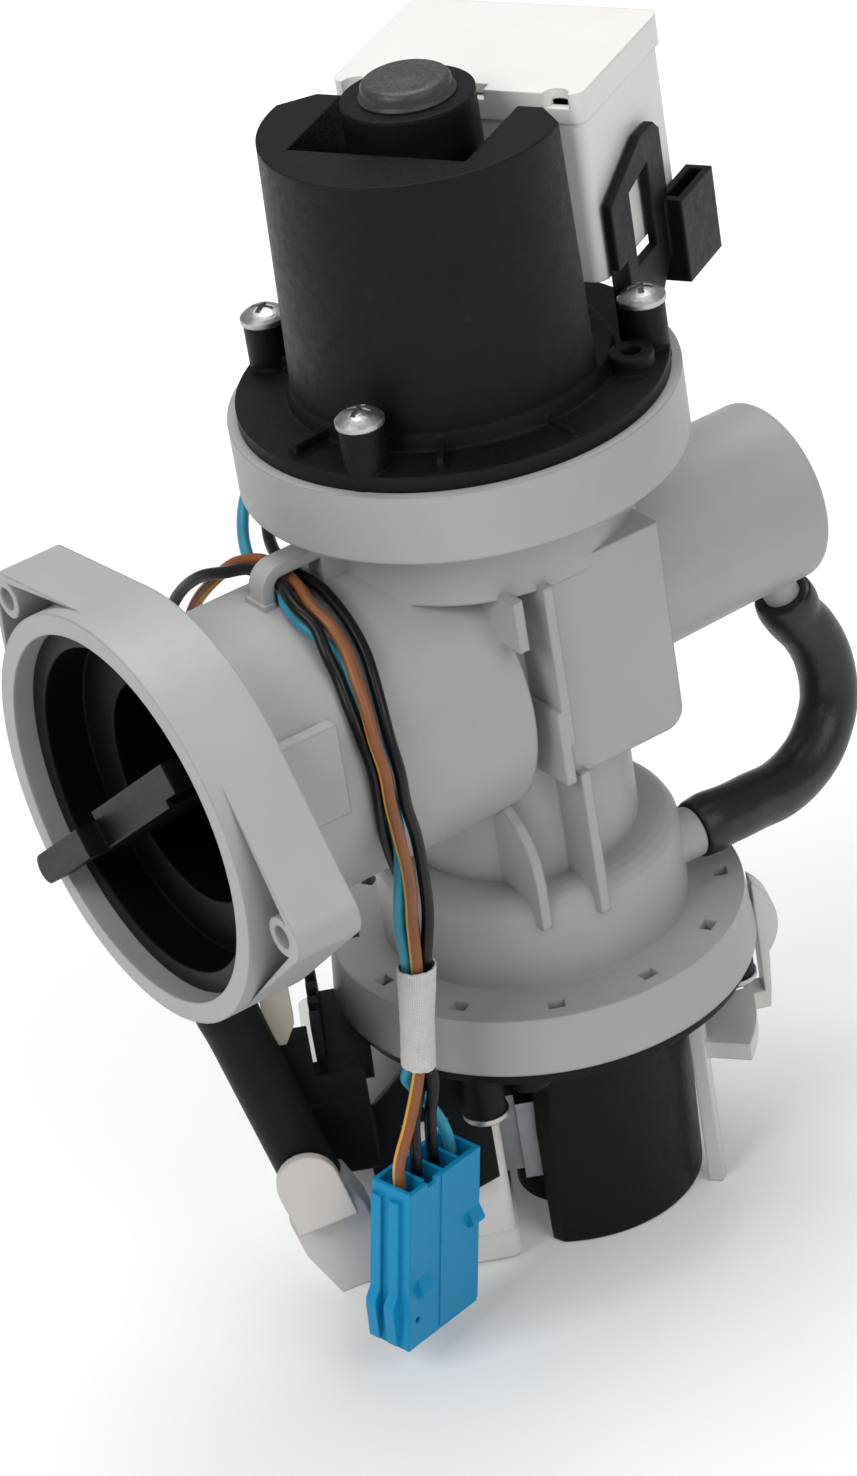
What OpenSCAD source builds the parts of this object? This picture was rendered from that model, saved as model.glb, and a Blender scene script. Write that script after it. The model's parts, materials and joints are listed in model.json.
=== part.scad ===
// Washer drain pump: a moulded casing with a filter port at the front, an inlet tube
// at the back, a drain pump motor on top and a circulation pump motor underneath.
// The origin is the centre of the lower motor's end face, on the common motor axis.
// +Z runs up the motor axis and -Y points out of the filter port.

/* [Casing stack] */
// Height of the lower motor, from its end face up to its seat on the casing
lower_motor_h = 52.8; // [50:0.2:58]
// Height of the lower flange
lower_flange_h = 12.1; // [11:0.1:14]
// Height of the lower pump chamber above its flange
lower_chamber_h = 20; // [18:0.5:24]
// Height of the port axis above the lower pump chamber
port_rise = 40.5; // [38:0.5:46]
// Height of the upper pump chamber's floor above the port axis
skirt_rise = 25.6; // [25:0.2:28]
// Height of the upper pump chamber below its ring
skirt_h = 16.2; // [14:0.2:20]
// Height of the upper ring
upper_ring_h = 13.8; // [12:0.2:16]

/* [Casing walls] */
// Outer radius of the lower flange at its seat
flange_r = 42.6; // [42:0.1:45]
// Taper of the lower flange towards its top
flange_draft = 1.1; // [0.5:0.1:1.5]
// Outer radius of the upper ring
ring_r = 43; // [42.5:0.1:45]
// Wall of the flange and the ring
rim_wall = 2.4; // [2:0.1:3]
// Bore radius of both pump chambers
pump_bore_r = 27.5; // [26.5:0.1:28.5]
// Wall of both pump chambers
pump_wall = 3; // [2.5:0.1:3.2]
// Roof and floor thickness of the pump chambers
floor_t = 2.6; // [2.2:0.1:3]
// Bore radius of the filter duct
duct_bore_r = 26.5; // [25.8:0.1:27]
// Wall of the filter duct
duct_wall = 3.5; // [3:0.1:4]
// Outer radius of the upright column between the chambers
column_r = 23; // [21:0.5:25]

/* [Filter port] */
// Distance of the port's front face from the motor axis
port_reach = 85.7; // [84:0.1:96]
// Outer radius of the port ring
port_r = 41.5; // [40.5:0.1:44]
// Bore radius of the port mouth
mouth_r = 37.3; // [37:0.1:38]
// Depth of the port mouth
mouth_depth = 6.5; // [6:0.1:7]
// Bore radius of the cap seat behind the mouth
seat_r = 36; // [35.5:0.1:36.5]
// Depth of the port collar
collar_depth = 16.7; // [15.5:0.1:20]
// Step from the port ring back to the front of the ears
ear_set_back = 3; // [2:0.1:4]
// Distance of each ear's screw hole from the port axis
ear_distance = 48; // [47:0.1:50]
// Rounding radius of the ears
ear_r = 5.4; // [5.2:0.1:6.5]
// Radius of the ear screw holes
ear_hole_r = 2.3; // [2:0.1:2.5]

/* [Inlet tube] */
// Distance of the inlet tube's mouth from the motor axis
inlet_reach = 69; // [66:0.5:90]
// Outer radius of the inlet tube at its mouth
inlet_r = 18.6; // [17:0.1:19]
// Taper of the inlet tube towards the casing
inlet_draft = 0.6; // [0.3:0.1:1]
// Wall of the inlet tube
inlet_wall = 2.5; // [2:0.1:3]
// Height of the inlet tube above the port axis
inlet_lift = 3.9; // [2:0.1:4.5]

/* [Motors] */
// Height of the upper motor's can above its seat
upper_can_h = 55; // [52:0.5:60]
// Radius of the upper can at its free end
upper_can_r = 28.7; // [27.5:0.1:29.5]
// Radius of the lower can at its free end
lower_can_r = 25.6; // [25:0.1:28]
// Taper of each can towards its plate
can_draft = 1.6; // [1:0.1:2.4]
// Wall of the cans
can_wall = 2.2; // [1.8:0.1:2.6]
// Radius of the motor plates
plate_r = 41; // [40:0.1:42]
// Thickness of the motor plates
plate_t = 3; // [2.5:0.1:4]
// Turn of the upper motor about the motor axis
upper_turn = 30; // [20:1:40]
// Turn of the lower motor about the motor axis
lower_turn = -30; // [-35:1:-25]
// Radius of the circle that the motor screws stand on
screw_circle_r = 37; // [36.6:0.1:37.4]
// Height of the screw bosses above the seat
boss_h = 12; // [9:0.5:15]
// Radius of the screw bosses
boss_r = 4.2; // [3.8:0.1:4.4]
// Radius of the screw shanks
shank_r = 1.8; // [1.5:0.05:2]
// Width of the stator housings
stator_w = 51; // [49:0.5:52]
// Depth of the stator housings
stator_d = 37.5; // [36:0.5:39]
// Wall of the stator housings
stator_wall = 2; // [1.6:0.1:2.2]

/* [Pump wheels] */
// Outer radius of the impeller blades
impeller_r = 22; // [19:0.5:24]
// Number of impeller blades
blade_count = 6; // [4:1:8]
// Reach of the impellers below the motor seat
impeller_reach = 22; // [18:0.5:23]
// Radius of the rotor magnets
magnet_r = 10.2; // [9.5:0.1:10.5]
// Radius of the rotor shafts
shaft_r = 1.5; // [1.2:0.05:2]

/* [Hoses and wires] */
// Outer radius of both rubber hoses
hose_r = 5.9; // [5.6:0.1:6.2]
// Bore radius of both rubber hoses
hose_bore_r = 3.9; // [3.8:0.05:4.1]
// Radius of the harness wires
wire_r = 1.2; // [1:0.05:1.25]

/* [Hidden] */

// Overrun of every cut past the face that it leaves
over = 1;
// Facets of the turned shapes
$fn = 96;

// Levels on the motor axis
z_lower_seat = lower_motor_h;
z_flange_top = z_lower_seat + lower_flange_h;
z_chamber_top = z_flange_top + lower_chamber_h;
z_port = z_chamber_top + port_rise;
z_skirt = z_port + skirt_rise;
z_ring = z_skirt + skirt_h;
z_upper_seat = z_ring + upper_ring_h;
z_inlet = z_port + inlet_lift;

// Derived casing sizes
pump_r = pump_bore_r + pump_wall;
duct_r = duct_bore_r + duct_wall;
collar_back = port_reach - collar_depth;
shoulder_r = 5;
duct_end = 12;
block_half_w = duct_r;
block_front = 5;
block_back = 21;
block_drop = 15.9;
block_edge_r = 4;
block_wall = 3;
block_top_gap = 2;
eye_r = 10;
inlet_edge_r = 1.6;
inlet_land = 16;
suction_r = 12;

// Windows in the lower flange
window_count = 12;
window_w = 3.2;
window_d = 2.6;
window_circle_r = screw_circle_r;

// Motor details
motor_screw_angles = [183, 270, 27];
spare_boss_angle = 12;
spare_boss_inset = 2.2;
spare_boss_h = 6.5;
pilot_clear = 0.05;
screw_hole_r = shank_r + 0.15;
pilot_depth = 10;
head_r = 4.6;
head_h = 3;
head_clear = 0.4;
bead_r = 0.9;
can_back = 7.6;
can_corner_u = 23;
can_top_t = 2.5;
pocket_w = 36;
pocket_front = 15.5;
pocket_depth = 12;
lower_pocket_depth = 9.8;
pocket_wall = 2;
sleeve_r = 12.5;
sleeve_bore_r = 11.2;
upper_bore_h = upper_can_h - pocket_depth;
lower_bore_h = lower_motor_h - lower_pocket_depth;
bush_r = 4;
bush_h = 4;
bush_clear = 0.05;
nose_rise = 5;
nose_cap_r = 9;
nose_cap_h = 3.8;
nose_stem_r = 5;
nose_stem_h = 3;
spigot_clear = 0.2;
spigot_h = 5;

// Stator housing and core
stator_front = 14;
stator_shift = 2;
stator_z = 16;
stator_top_gap = 0.4;
stator_edge_r = 2.5;
stator_lid_t = 6;
stator_lid_step = 0.6;
leg_in = 8.5;
leg_out = 15.5;
core_z = 22;
core_gap = 1;
pole_gap = 0.3;
pole_out = 19;
pole_front = 11;
yoke_back = 43;
yoke_t = 8;
coil_t = 3.2;
coil_clear = 0.1;
coil_front = 16.5;
coil_back = 34;
slot_clear = 0.15;

// Guide frame and terminal shroud on the side of each motor
guide_in = 27.7;
guide_t = 1.8;
guide_from = 16.2;
guide_foot_to = 29;
guide_to = 40.6;
guide_shoulder = 16;
guide_h = 38;
guide_drop = 7;
guide_foot_z = 12;
guide_window_from = 24.4;
guide_window_to = 33.6;
guide_window_z = 15;
guide_window_h = 17;
guide_window_drop = 2;
shroud_out = 33;
shroud_from = guide_to;
shroud_to = 54;
shroud_z = 4.5;
shroud_h = 17;
shroud_wall = 1.3;
plug_clear = 0.2;

// Filter cap
cap_flange_t = 2;
cap_clear = 0.3;
cap_tail_depth = 12.5;
cap_tail_clear = 1.5;
cap_plug_end = collar_back + block_wall / 2 + cap_clear;
cap_tail_end = cap_plug_end - cap_tail_depth;
cap_tail_r = duct_bore_r - cap_tail_clear;
cup_wall = 1.4;
cup_deep_wall = 2.5;
cup_deep_r = cap_tail_r - cup_deep_wall;
cap_back_t = 2;
handle_angle = 37;
handle_t = 6;
handle_left = 38;
handle_step = 12;
handle_right_gap = 5;
handle_shift = 1.6;
handle_proud = 4.4;
seal_t = 1.4;
seal_depth = 1.3;
cup_r = seat_r - cap_clear - seal_depth - cup_wall;
basket_wall = 2;
basket_end = duct_end + block_wall + basket_wall;
basket_clear = 0.9;
basket_r = duct_bore_r - basket_clear;
basket_slots = 8;
basket_slot_share = 0.62;

// Nozzles
nozzle_r = 3.7;
nozzle_bore_r = 2.6;
nozzle_collar_r = 5.2;
nozzle_x = 15;
nozzle_lift = 9.3;
nozzle_z = z_flange_top + nozzle_lift;
nozzle_root = 16;
nozzle_tip = 34;
nozzle_neck = 29.1;
vent_at = [4, 64.6, 110.2];
vent_lean = 20;
vent_root = 3.5;
vent_reach = 6.5;
tap_set_back = 5;
tap_drop = 1.6;
tap_at = [0, -collar_back - tap_set_back, z_port - port_r - tap_drop];
tap_lean_x = 10.9;
tap_lean_y = 10.6;
tap_root = 6;
tap_reach = 12;
tap_neck = 0.6;
outlet_angle = 150;
drain_outlet_r = 11;
drain_outlet_drop = 8;
drain_outlet_z = z_ring - drain_outlet_drop;
drain_outlet_reach = 62;
circ_outlet_r = 8.5;
circ_outlet_lift = 10.5;
circ_outlet_z = z_flange_top + circ_outlet_lift;
circ_outlet_reach = 58;
outlet_wall = 2;
outlet_land = 13;
outlet_root_step = 0.8;

// Ribs on the casing
rib_t = 2.2;
rib_proud = 1.8;

// Wire hook on the filter duct
hook_w = 5;
hook_t = 2.3;
hook_front = 49.2;
hook_post = 36;
hook_clear = 5.2;
hook_foot = 0.8;

// Pad on the duct
pad_proud = 0.6;
pad_end = 54.5;
pad_top = 19;

// How far the joining lines lie inside the tangents, so that they cross both circles
blend_sink = 0.03;

// A circle's outline with a smaller circle's, joined by their outer tangents
function tangent_share(r_big, r_small, d) = acos((r_big - r_small) / d);
function polar(r, a) = [r * cos(a), r * sin(a)];
function ear_outline(r_big, r_small, d, a) =
  let (t = tangent_share(r_big, r_small, d), big = r_big - blend_sink, small = r_small - blend_sink)
  [
    [0, 0],
    polar(big, a - t),
    polar(d, a) + polar(small, a - t),
    polar(d, a),
    polar(d, a) + polar(small, a + t),
    polar(big, a + t)
  ];
// Points of an arc, in steps of its sweep
function arc(cx, cy, r, from, to, steps) =
  [for (i = [0:steps]) [cx + r * cos(from + (to - from) * i / steps), cy + r * sin(from + (to - from) * i / steps)]];

// Smooth route through hand-set points, and a tube swept along it
function unit(v) = v / norm(v);
function route_dir(p, i) =
  i == 0 ? unit(p[1] - p[0])
  : i == len(p) - 1 ? unit(p[i] - p[i - 1])
  : unit(unit(p[i + 1] - p[i]) + unit(p[i] - p[i - 1]));
function across(d, hint) = unit(hint - d * (hint * d));
function ring_points(c, d, hint, r, sides) =
  let (u = across(d, hint), v = cross(d, u))
  [for (k = [0:sides - 1]) c + r * (u * cos(360 * k / sides) + v * sin(360 * k / sides))];
function tube_points(p, hint, r, sides) =
  [for (i = [0:len(p) - 1]) each ring_points(p[i], route_dir(p, i), hint, r, sides)];

// A solid tube along a route
module solid_tube(p, r, sides, hint = [0, 0, 1]) {
  n = len(p);
  polyhedron(
    points = tube_points(p, hint, r, sides),
    faces = concat(
      [[for (k = [0:sides - 1]) k]],
      [[for (k = [sides - 1:-1:0]) (n - 1) * sides + k]],
      [for (i = [0:n - 2]) for (k = [0:sides - 1]) [i * sides + k, (i + 1) * sides + k, (i + 1) * sides + (k + 1) % sides]],
      [for (i = [0:n - 2]) for (k = [0:sides - 1]) [i * sides + k, (i + 1) * sides + (k + 1) % sides, i * sides + (k + 1) % sides]]
    )
  );
}

// A hose along a route, with its bore
module hollow_tube(p, r, bore, sides, hint = [0, 0, 1]) {
  n = len(p);
  m = n * sides;
  polyhedron(
    points = concat(tube_points(p, hint, r, sides), tube_points(p, hint, bore, sides)),
    faces = concat(
      [for (i = [0:n - 2]) for (k = [0:sides - 1]) [i * sides + k, (i + 1) * sides + k, (i + 1) * sides + (k + 1) % sides]],
      [for (i = [0:n - 2]) for (k = [0:sides - 1]) [i * sides + k, (i + 1) * sides + (k + 1) % sides, i * sides + (k + 1) % sides]],
      [for (i = [0:n - 2]) for (k = [0:sides - 1]) [m + i * sides + k, m + (i + 1) * sides + (k + 1) % sides, m + (i + 1) * sides + k]],
      [for (i = [0:n - 2]) for (k = [0:sides - 1]) [m + i * sides + k, m + i * sides + (k + 1) % sides, m + (i + 1) * sides + (k + 1) % sides]],
      [for (k = [0:sides - 1]) [k, (k + 1) % sides, m + (k + 1) % sides]],
      [for (k = [0:sides - 1]) [k, m + (k + 1) % sides, m + k]],
      [for (k = [0:sides - 1]) [(n - 1) * sides + k, m + (n - 1) * sides + (k + 1) % sides, (n - 1) * sides + (k + 1) % sides]],
      [for (k = [0:sides - 1]) [(n - 1) * sides + k, m + (n - 1) * sides + k, m + (n - 1) * sides + (k + 1) % sides]]
    )
  );
}

// A cylinder along -Y from one distance to another, at the port's height
module along_port(from, to, r, x = 0, z = z_port) {
  translate([x, -from, z]) rotate([90, 0, 0]) cylinder(h = to - from, r = r);
}

// A flat outline stood up along -Y, at the port's height
module port_plate(from, to) {
  translate([0, -from, z_port]) rotate([90, 0, 0]) linear_extrude(to - from) children();
}

// A box given by its two corners
module block(a, b) {
  translate(a) cube(b - a);
}

// A ring between two radii
module ring(outer, inner, z0, z1) {
  translate([0, 0, z0]) difference() {
    cylinder(h = z1 - z0, r = outer);
    translate([0, 0, -over]) cylinder(h = z1 - z0 + 2 * over, r = inner);
  }
}

// Upper and lower motor frames: the plate's seat at z = 0, the can along +Z
module upper_motor_frame() {
  translate([0, 0, z_upper_seat]) rotate([0, 0, upper_turn]) children();
}
module lower_motor_frame() {
  translate([0, 0, z_lower_seat]) rotate([0, 0, lower_turn]) rotate([180, 0, 0]) children();
}
module at_screws(r = screw_circle_r) {
  for (a = motor_screw_angles) rotate([0, 0, a]) translate([r, 0, 0]) children();
}

// Casing: outer forms
module lower_pump_outside() {
  translate([0, 0, z_lower_seat]) cylinder(h = lower_flange_h, r1 = flange_r, r2 = flange_r - flange_draft);
  translate([0, 0, z_lower_seat]) rotate_extrude() polygon(concat(
    [[0, 0], [pump_r, 0]],
    arc(pump_r - shoulder_r, z_chamber_top - z_lower_seat - shoulder_r, shoulder_r, 0, 90, 5),
    [[0, z_chamber_top - z_lower_seat]]
  ));
}

module upper_pump_outside() {
  translate([0, 0, z_skirt]) cylinder(h = z_upper_seat - z_skirt, r = pump_r);
  translate([0, 0, z_ring]) cylinder(h = upper_ring_h, r = ring_r);
}

module duct_outside() {
  along_port(duct_end, collar_back + over, duct_r);
  translate([0, 0, z_chamber_top - shoulder_r]) cylinder(h = z_skirt - z_chamber_top + 2 * shoulder_r, r = column_r);
  rounded_block();
}

module rounded_block() {
  z0 = z_port - block_drop;
  z1 = z_skirt + floor_t;
  block([-block_half_w, -block_front, z0 + block_edge_r], [block_half_w, block_back - block_edge_r, z1]);
  block([-block_half_w, -block_front, z0 + block_edge_r], [block_half_w, block_back, z1]);
  block([-block_half_w, -block_front, z0], [block_half_w, block_back - block_edge_r, z1]);
  translate([-block_half_w, block_back - block_edge_r, z0 + block_edge_r]) rotate([0, 90, 0])
    cylinder(h = 2 * block_half_w, r = block_edge_r);
}

module inlet_outside() {
  translate([0, inlet_reach, z_inlet]) rotate([90, 0, 0])
    rotate_extrude() polygon(concat(
      [[0, 0]],
      arc(inlet_r - inlet_edge_r, inlet_edge_r, inlet_edge_r, 270, 360, 4),
      [[inlet_r, inlet_land], [inlet_r + inlet_draft, inlet_reach - block_back + over], [0, inlet_reach - block_back + over]]
    ));
}

module port_collar() {
  port_plate(collar_back, port_reach) circle(r = port_r);
  for (a = ear_angles) {
    port_plate(collar_back, port_reach - ear_set_back) polygon(ear_outline(port_r, ear_r, ear_distance, a));
    port_plate(collar_back, port_reach - ear_set_back) translate(polar(ear_distance, a)) circle(r = ear_r);
  }
}
ear_angles = [137, -7];
ear_wall = 1.8;
ear_pocket_depth = 11;
ear_boss_r = 4;

// Hollow round each ear's screw boss, behind the port ring
module ear_pocket(a) {
  difference() {
    union() {
      port_plate(port_reach - ear_set_back - ear_pocket_depth, port_reach)
        polygon(ear_outline(port_r, ear_r - ear_wall, ear_distance, a));
      port_plate(port_reach - ear_set_back - ear_pocket_depth, port_reach)
        translate(polar(ear_distance, a)) circle(r = ear_r - ear_wall);
    }
    port_plate(collar_back, port_reach + over) circle(r = port_r);
    port_plate(collar_back, port_reach + over) translate(polar(ear_distance, a)) circle(r = ear_boss_r);
  }
}

// Ribs that stiffen the column, the block and the duct's end wall
module casing_ribs() {
  x = block_half_w + rib_proud;
  block([-x, -block_front - rib_t, z_port - block_drop / 2], [x, -block_front, z_skirt + over]);
  block([-x, -block_front - 1.5 * rib_t, z_port - block_drop], [x, -block_front - rib_t / 2, z_port]);
  block([-x, -duct_end - rib_t, z_port + block_drop], [x, -duct_end, z_skirt + over]);
  block([-x, -block_front, z_chamber_top - shoulder_r - over], [x, -block_front + rib_t, z_port - block_drop + over]);
  curved_rib();
}

// Rib with a rounded top between the lower chamber and the duct
module curved_rib() {
  w = block_half_w - rib_proud;
  h = block_drop;
  translate([0, -duct_end - rib_t, z_chamber_top - shoulder_r - over]) rotate([90, 0, 0]) linear_extrude(rib_t)
    polygon(concat([[-w, 0], [w, 0]], arc(w - h, shoulder_r + h / 3, h, 0, 90, 6), arc(-w + h, shoulder_r + h / 3, h, 90, 180, 6)));
}

// Arch on the duct that holds the wires down
module wire_hook() {
  z0 = z_port + duct_r - hook_t;
  z1 = z_port + duct_r + hook_clear;
  edge = 2 * hook_t;
  translate([-hook_w / 2, 0, 0]) rotate([90, 0, 90]) linear_extrude(hook_w) difference() {
    union() {
      polygon(concat([[-hook_post, z1 + hook_t]], arc(edge - hook_front, z1 + hook_t - edge, edge, 90, 180, 6),
        [[-hook_front, z0], [-hook_post, z0]]));
      translate([-hook_post, z0]) square([hook_post - pump_r + 2 * hook_t, z1 + hook_t - z0]);
    }
    polygon(concat([[-hook_post, z1]], arc(edge - hook_front, z1 + hook_t - edge, edge - hook_t, 90, 180, 6),
      [[hook_t - hook_front, z0 - over], [-hook_post, z0 - over]]));
  }
  block([-hook_w / 2 - hook_foot, -hook_front - hook_foot, z0],
    [hook_w / 2 + hook_foot, hook_t - hook_front - hook_foot / 2, z0 + hook_t + hook_foot]);
}

// Flat pad on the duct's side, behind the collar
module side_pad() {
  block([duct_r - rib_t, -collar_back - over, z_port], [duct_r + pad_proud, -pad_end, z_port + pad_top]);
}

// Frames of the two nozzles that point down: +Z runs out of the nozzle
module vent_frame() {
  translate(vent_at) rotate([180 + vent_lean, 0, 0]) children();
}
module tap_frame() {
  translate(tap_at) rotate([0, -tap_lean_x, 0]) rotate([180 + tap_lean_y, 0, 0]) children();
}

// Solid of one nozzle, thicker at its root
module nozzle_stick(l, neck, r = nozzle_r, collar = nozzle_collar_r) {
  cylinder(h = l, r = r);
  cylinder(h = neck, r = collar);
}

// Solid of one outlet: a thicker root, and the land that a hose sits on
module hose_seat(l, r) {
  cylinder(h = l, r = r);
  cylinder(h = l - outlet_land, r = r + outlet_root_step);
}

module nozzles_outside() {
  translate([nozzle_x, nozzle_root, nozzle_z]) rotate([-90, 0, 0])
    nozzle_stick(nozzle_tip - nozzle_root, nozzle_neck - nozzle_root);
  vent_frame() translate([0, 0, -vent_root]) cylinder(h = vent_root + vent_reach, r = nozzle_r);
  tap_frame() translate([0, 0, -tap_root]) nozzle_stick(tap_root + tap_reach, tap_root - tap_neck);
  rotate([0, 0, outlet_angle]) {
    translate([pump_bore_r / 2, 0, drain_outlet_z]) rotate([0, 90, 0])
      hose_seat(drain_outlet_reach - pump_bore_r / 2, drain_outlet_r);
    translate([pump_bore_r / 2, 0, circ_outlet_z]) rotate([0, 90, 0])
      hose_seat(circ_outlet_reach - pump_bore_r / 2, circ_outlet_r);
  }
}

module nozzle_bores() {
  translate([nozzle_x, nozzle_root, nozzle_z]) rotate([-90, 0, 0])
    cylinder(h = nozzle_tip - nozzle_root + over, r = nozzle_bore_r);
  vent_frame() translate([0, 0, -2 * vent_root]) cylinder(h = 2 * vent_root + vent_reach + over, r = nozzle_bore_r);
  tap_frame() translate([0, 0, -2 * tap_root]) cylinder(h = 2 * tap_root + tap_reach + over, r = nozzle_bore_r);
  rotate([0, 0, outlet_angle]) {
    translate([pump_bore_r / 2, 0, drain_outlet_z]) rotate([0, 90, 0])
      cylinder(h = drain_outlet_reach - pump_bore_r / 2 + over, r = drain_outlet_r - outlet_wall);
    translate([pump_bore_r / 2, 0, circ_outlet_z]) rotate([0, 90, 0])
      cylinder(h = circ_outlet_reach - pump_bore_r / 2 + over, r = circ_outlet_r - outlet_wall);
  }
}

// Ring-shaped hollows that the motor plates close, with the screw bosses left standing
module lower_flange_hollow() {
  difference() {
    ring(flange_r - flange_draft - rim_wall, pump_r, z_lower_seat - over, z_flange_top - rim_wall);
    lower_motor_frame() at_screws() translate([0, 0, -lower_flange_h]) cylinder(h = lower_flange_h + 2 * over, r = boss_r);
  }
  lower_motor_frame() at_screws() translate([0, 0, -pilot_depth]) cylinder(h = pilot_depth + over, r = shank_r + pilot_clear);
  for (i = [0:window_count - 1]) rotate([0, 0, 360 * i / window_count])
    block([window_circle_r - window_d / 2, -window_w / 2, z_flange_top - rim_wall],
      [window_circle_r + window_d / 2, window_w / 2, z_flange_top + over]);
}

module upper_ring_hollow() {
  difference() {
    ring(ring_r - rim_wall, pump_r, z_ring + rim_wall, z_upper_seat + over);
    upper_motor_frame() at_screws() translate([0, 0, -upper_ring_h]) cylinder(h = upper_ring_h + 2 * over, r = boss_r);
  }
  upper_motor_frame() at_screws() translate([0, 0, -pilot_depth]) cylinder(h = pilot_depth + over, r = shank_r + pilot_clear);
}

// Hollow inside the block, the column and the duct
module water_ways() {
  along_port(duct_end + block_wall, port_reach + over, duct_bore_r);
  along_port(collar_back + block_wall / 2, port_reach + over, seat_r);
  along_port(port_reach - mouth_depth, port_reach + over, mouth_r);
  along_port(0, duct_end + block_wall + over, column_r - 2 * block_wall);
  block([-block_half_w + block_wall, block_wall - block_front, z_port - block_drop + block_wall],
    [block_half_w - block_wall, block_back - block_wall, z_skirt - block_top_gap]);
  translate([0, inlet_reach + over, z_inlet]) rotate([90, 0, 0])
    cylinder(h = inlet_reach + over, r = inlet_r - inlet_wall);
  translate([0, 0, z_chamber_top - 2 * floor_t]) cylinder(h = z_port - z_chamber_top, r = suction_r);
  translate([0, 0, z_port]) cylinder(h = skirt_rise + 2 * floor_t, r = eye_r);
  translate([0, 0, z_lower_seat - over]) cylinder(h = z_chamber_top - z_lower_seat - floor_t + over, r = pump_bore_r);
  translate([0, 0, z_skirt + floor_t]) cylinder(h = z_upper_seat - z_skirt, r = pump_bore_r);
}

module pump_casing() {
  color("darkgray") difference() {
    union() {
      lower_pump_outside();
      upper_pump_outside();
      duct_outside();
      inlet_outside();
      port_collar();
      casing_ribs();
      wire_hook();
      side_pad();
      nozzles_outside();
    }
    water_ways();
    lower_flange_hollow();
    upper_ring_hollow();
    nozzle_bores();
    for (a = ear_angles) {
      ear_pocket(a);
      port_plate(collar_back - over, port_reach) translate(polar(ear_distance, a)) circle(r = ear_hole_r);
    }
  }
}

// Filter cap: a flange in the mouth, a plug in the seat and a deep cup with its grip bar
module filter_cap() {
  front = port_reach - mouth_depth + cap_clear;
  color("dimgray") {
    difference() {
      union() {
        along_port(front, front + cap_flange_t, mouth_r - cap_clear);
        along_port(cap_plug_end, front + cap_flange_t, seat_r - cap_clear);
        along_port(cap_tail_end, cap_plug_end + over, cap_tail_r);
      }
      along_port(cap_plug_end + cap_back_t, front + cap_flange_t + over, cup_r);
      along_port(cap_tail_end + cap_back_t, front + cap_flange_t + over, cup_deep_r);
      difference() {
        along_port(front - seal_t - cap_clear, front - cap_clear, seat_r + over);
        along_port(front - seal_t - 2 * cap_clear, front, seat_r - cap_clear - seal_depth);
      }
    }
    translate([0, 0, z_port]) rotate([0, -handle_angle, 0]) {
      block([-cup_deep_r, -port_reach, -handle_t / 2], [cup_deep_r, -cap_tail_end - cap_back_t / 2, handle_t / 2]);
      block([-cup_r, handle_step - port_reach, -handle_t / 2], [cup_r - over, -cap_plug_end - cap_back_t / 2, handle_t / 2]);
      block([-handle_step, -port_reach, handle_shift - handle_t / 2],
        [cup_r - handle_right_gap, -cap_plug_end - cap_back_t / 2, handle_shift + handle_t / 2]);
      block([handle_t / 2 - handle_left, -port_reach - handle_proud, -handle_t / 2],
        [-handle_step, -port_reach - cap_clear, handle_t / 2]);
      translate([handle_t / 2 - handle_left, -port_reach - cap_clear, 0]) rotate([90, 0, 0])
        cylinder(h = handle_proud - cap_clear, r = handle_t / 2);
      block([-cup_deep_r, -port_reach - handle_proud, -handle_t / 2], [-handle_step, -port_reach + over, handle_t / 2]);
    }
  }
}

// Seal ring in the cap's groove
module filter_seal() {
  front = port_reach - mouth_depth + cap_clear;
  color("black") difference() {
    along_port(front - seal_t - cap_clear + pilot_clear, front - cap_clear - pilot_clear, seat_r - pilot_clear);
    along_port(front - seal_t - 2 * cap_clear, front, seat_r - cap_clear - seal_depth + pilot_clear);
  }
}

// Basket that catches lint, with long slots between its bars
module filter_basket() {
  color("silver") difference() {
    along_port(basket_end, cap_tail_end, basket_r);
    along_port(basket_end - over, cap_tail_end - basket_wall, basket_r - basket_wall);
    for (i = [0:basket_slots - 1]) translate([0, 0, z_port]) rotate([0, 360 * i / basket_slots, 0])
      block([0, -cap_tail_end + 2 * basket_wall, -basket_r * basket_slot_share / 2],
        [basket_r + over, -basket_end - 2 * basket_wall, basket_r * basket_slot_share / 2]);
  }
}

// Off-white bracket behind the lower flange: a rounded lobe, its stem, and a leg beside the can
bracket_angle = 66;
bracket_t = 5;
bracket_gap = 0.3;
lobe_r = 12;
lobe_at = [35.3, 50];
stem_out = 44.2;
stem_in = 39.4;
stem_low = 29.5;
stem_foot_h = 4;
leg_angle = 37;
leg_r_in = 28.4;
leg_r_out = 31.2;
leg_t = 3;
module support_bracket() {
  r0 = flange_r + bracket_gap;
  web_top = stem_low + stem_foot_h;
  color("linen") {
    rotate([0, 0, bracket_angle]) translate([0, bracket_t / 2, 0]) rotate([90, 0, 0]) linear_extrude(bracket_t) {
      intersection() {
        translate(lobe_at) circle(r = lobe_r);
        translate([r0, lobe_at[1] - lobe_r]) square([lobe_r, 2 * lobe_r]);
      }
      polygon([[r0, web_top], [r0, lobe_at[1]], [stem_out + over, lobe_at[1]], [stem_out, web_top],
        [stem_out - over / 2, stem_low], [stem_in, stem_low], [stem_in, web_top]]);
    }
    rotate([0, 0, leg_angle]) block([leg_r_in, -leg_t / 2, 0], [leg_r_out, leg_t / 2, z_lower_seat - 2 * plate_t]);
    intersection() {
      ring(stem_in + over, leg_r_in, stem_low, web_top);
      linear_extrude(web_top)
        polygon([[0, 0], polar(2 * flange_r, leg_angle), polar(2 * flange_r, bracket_angle)]);
    }
  }
}

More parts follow.
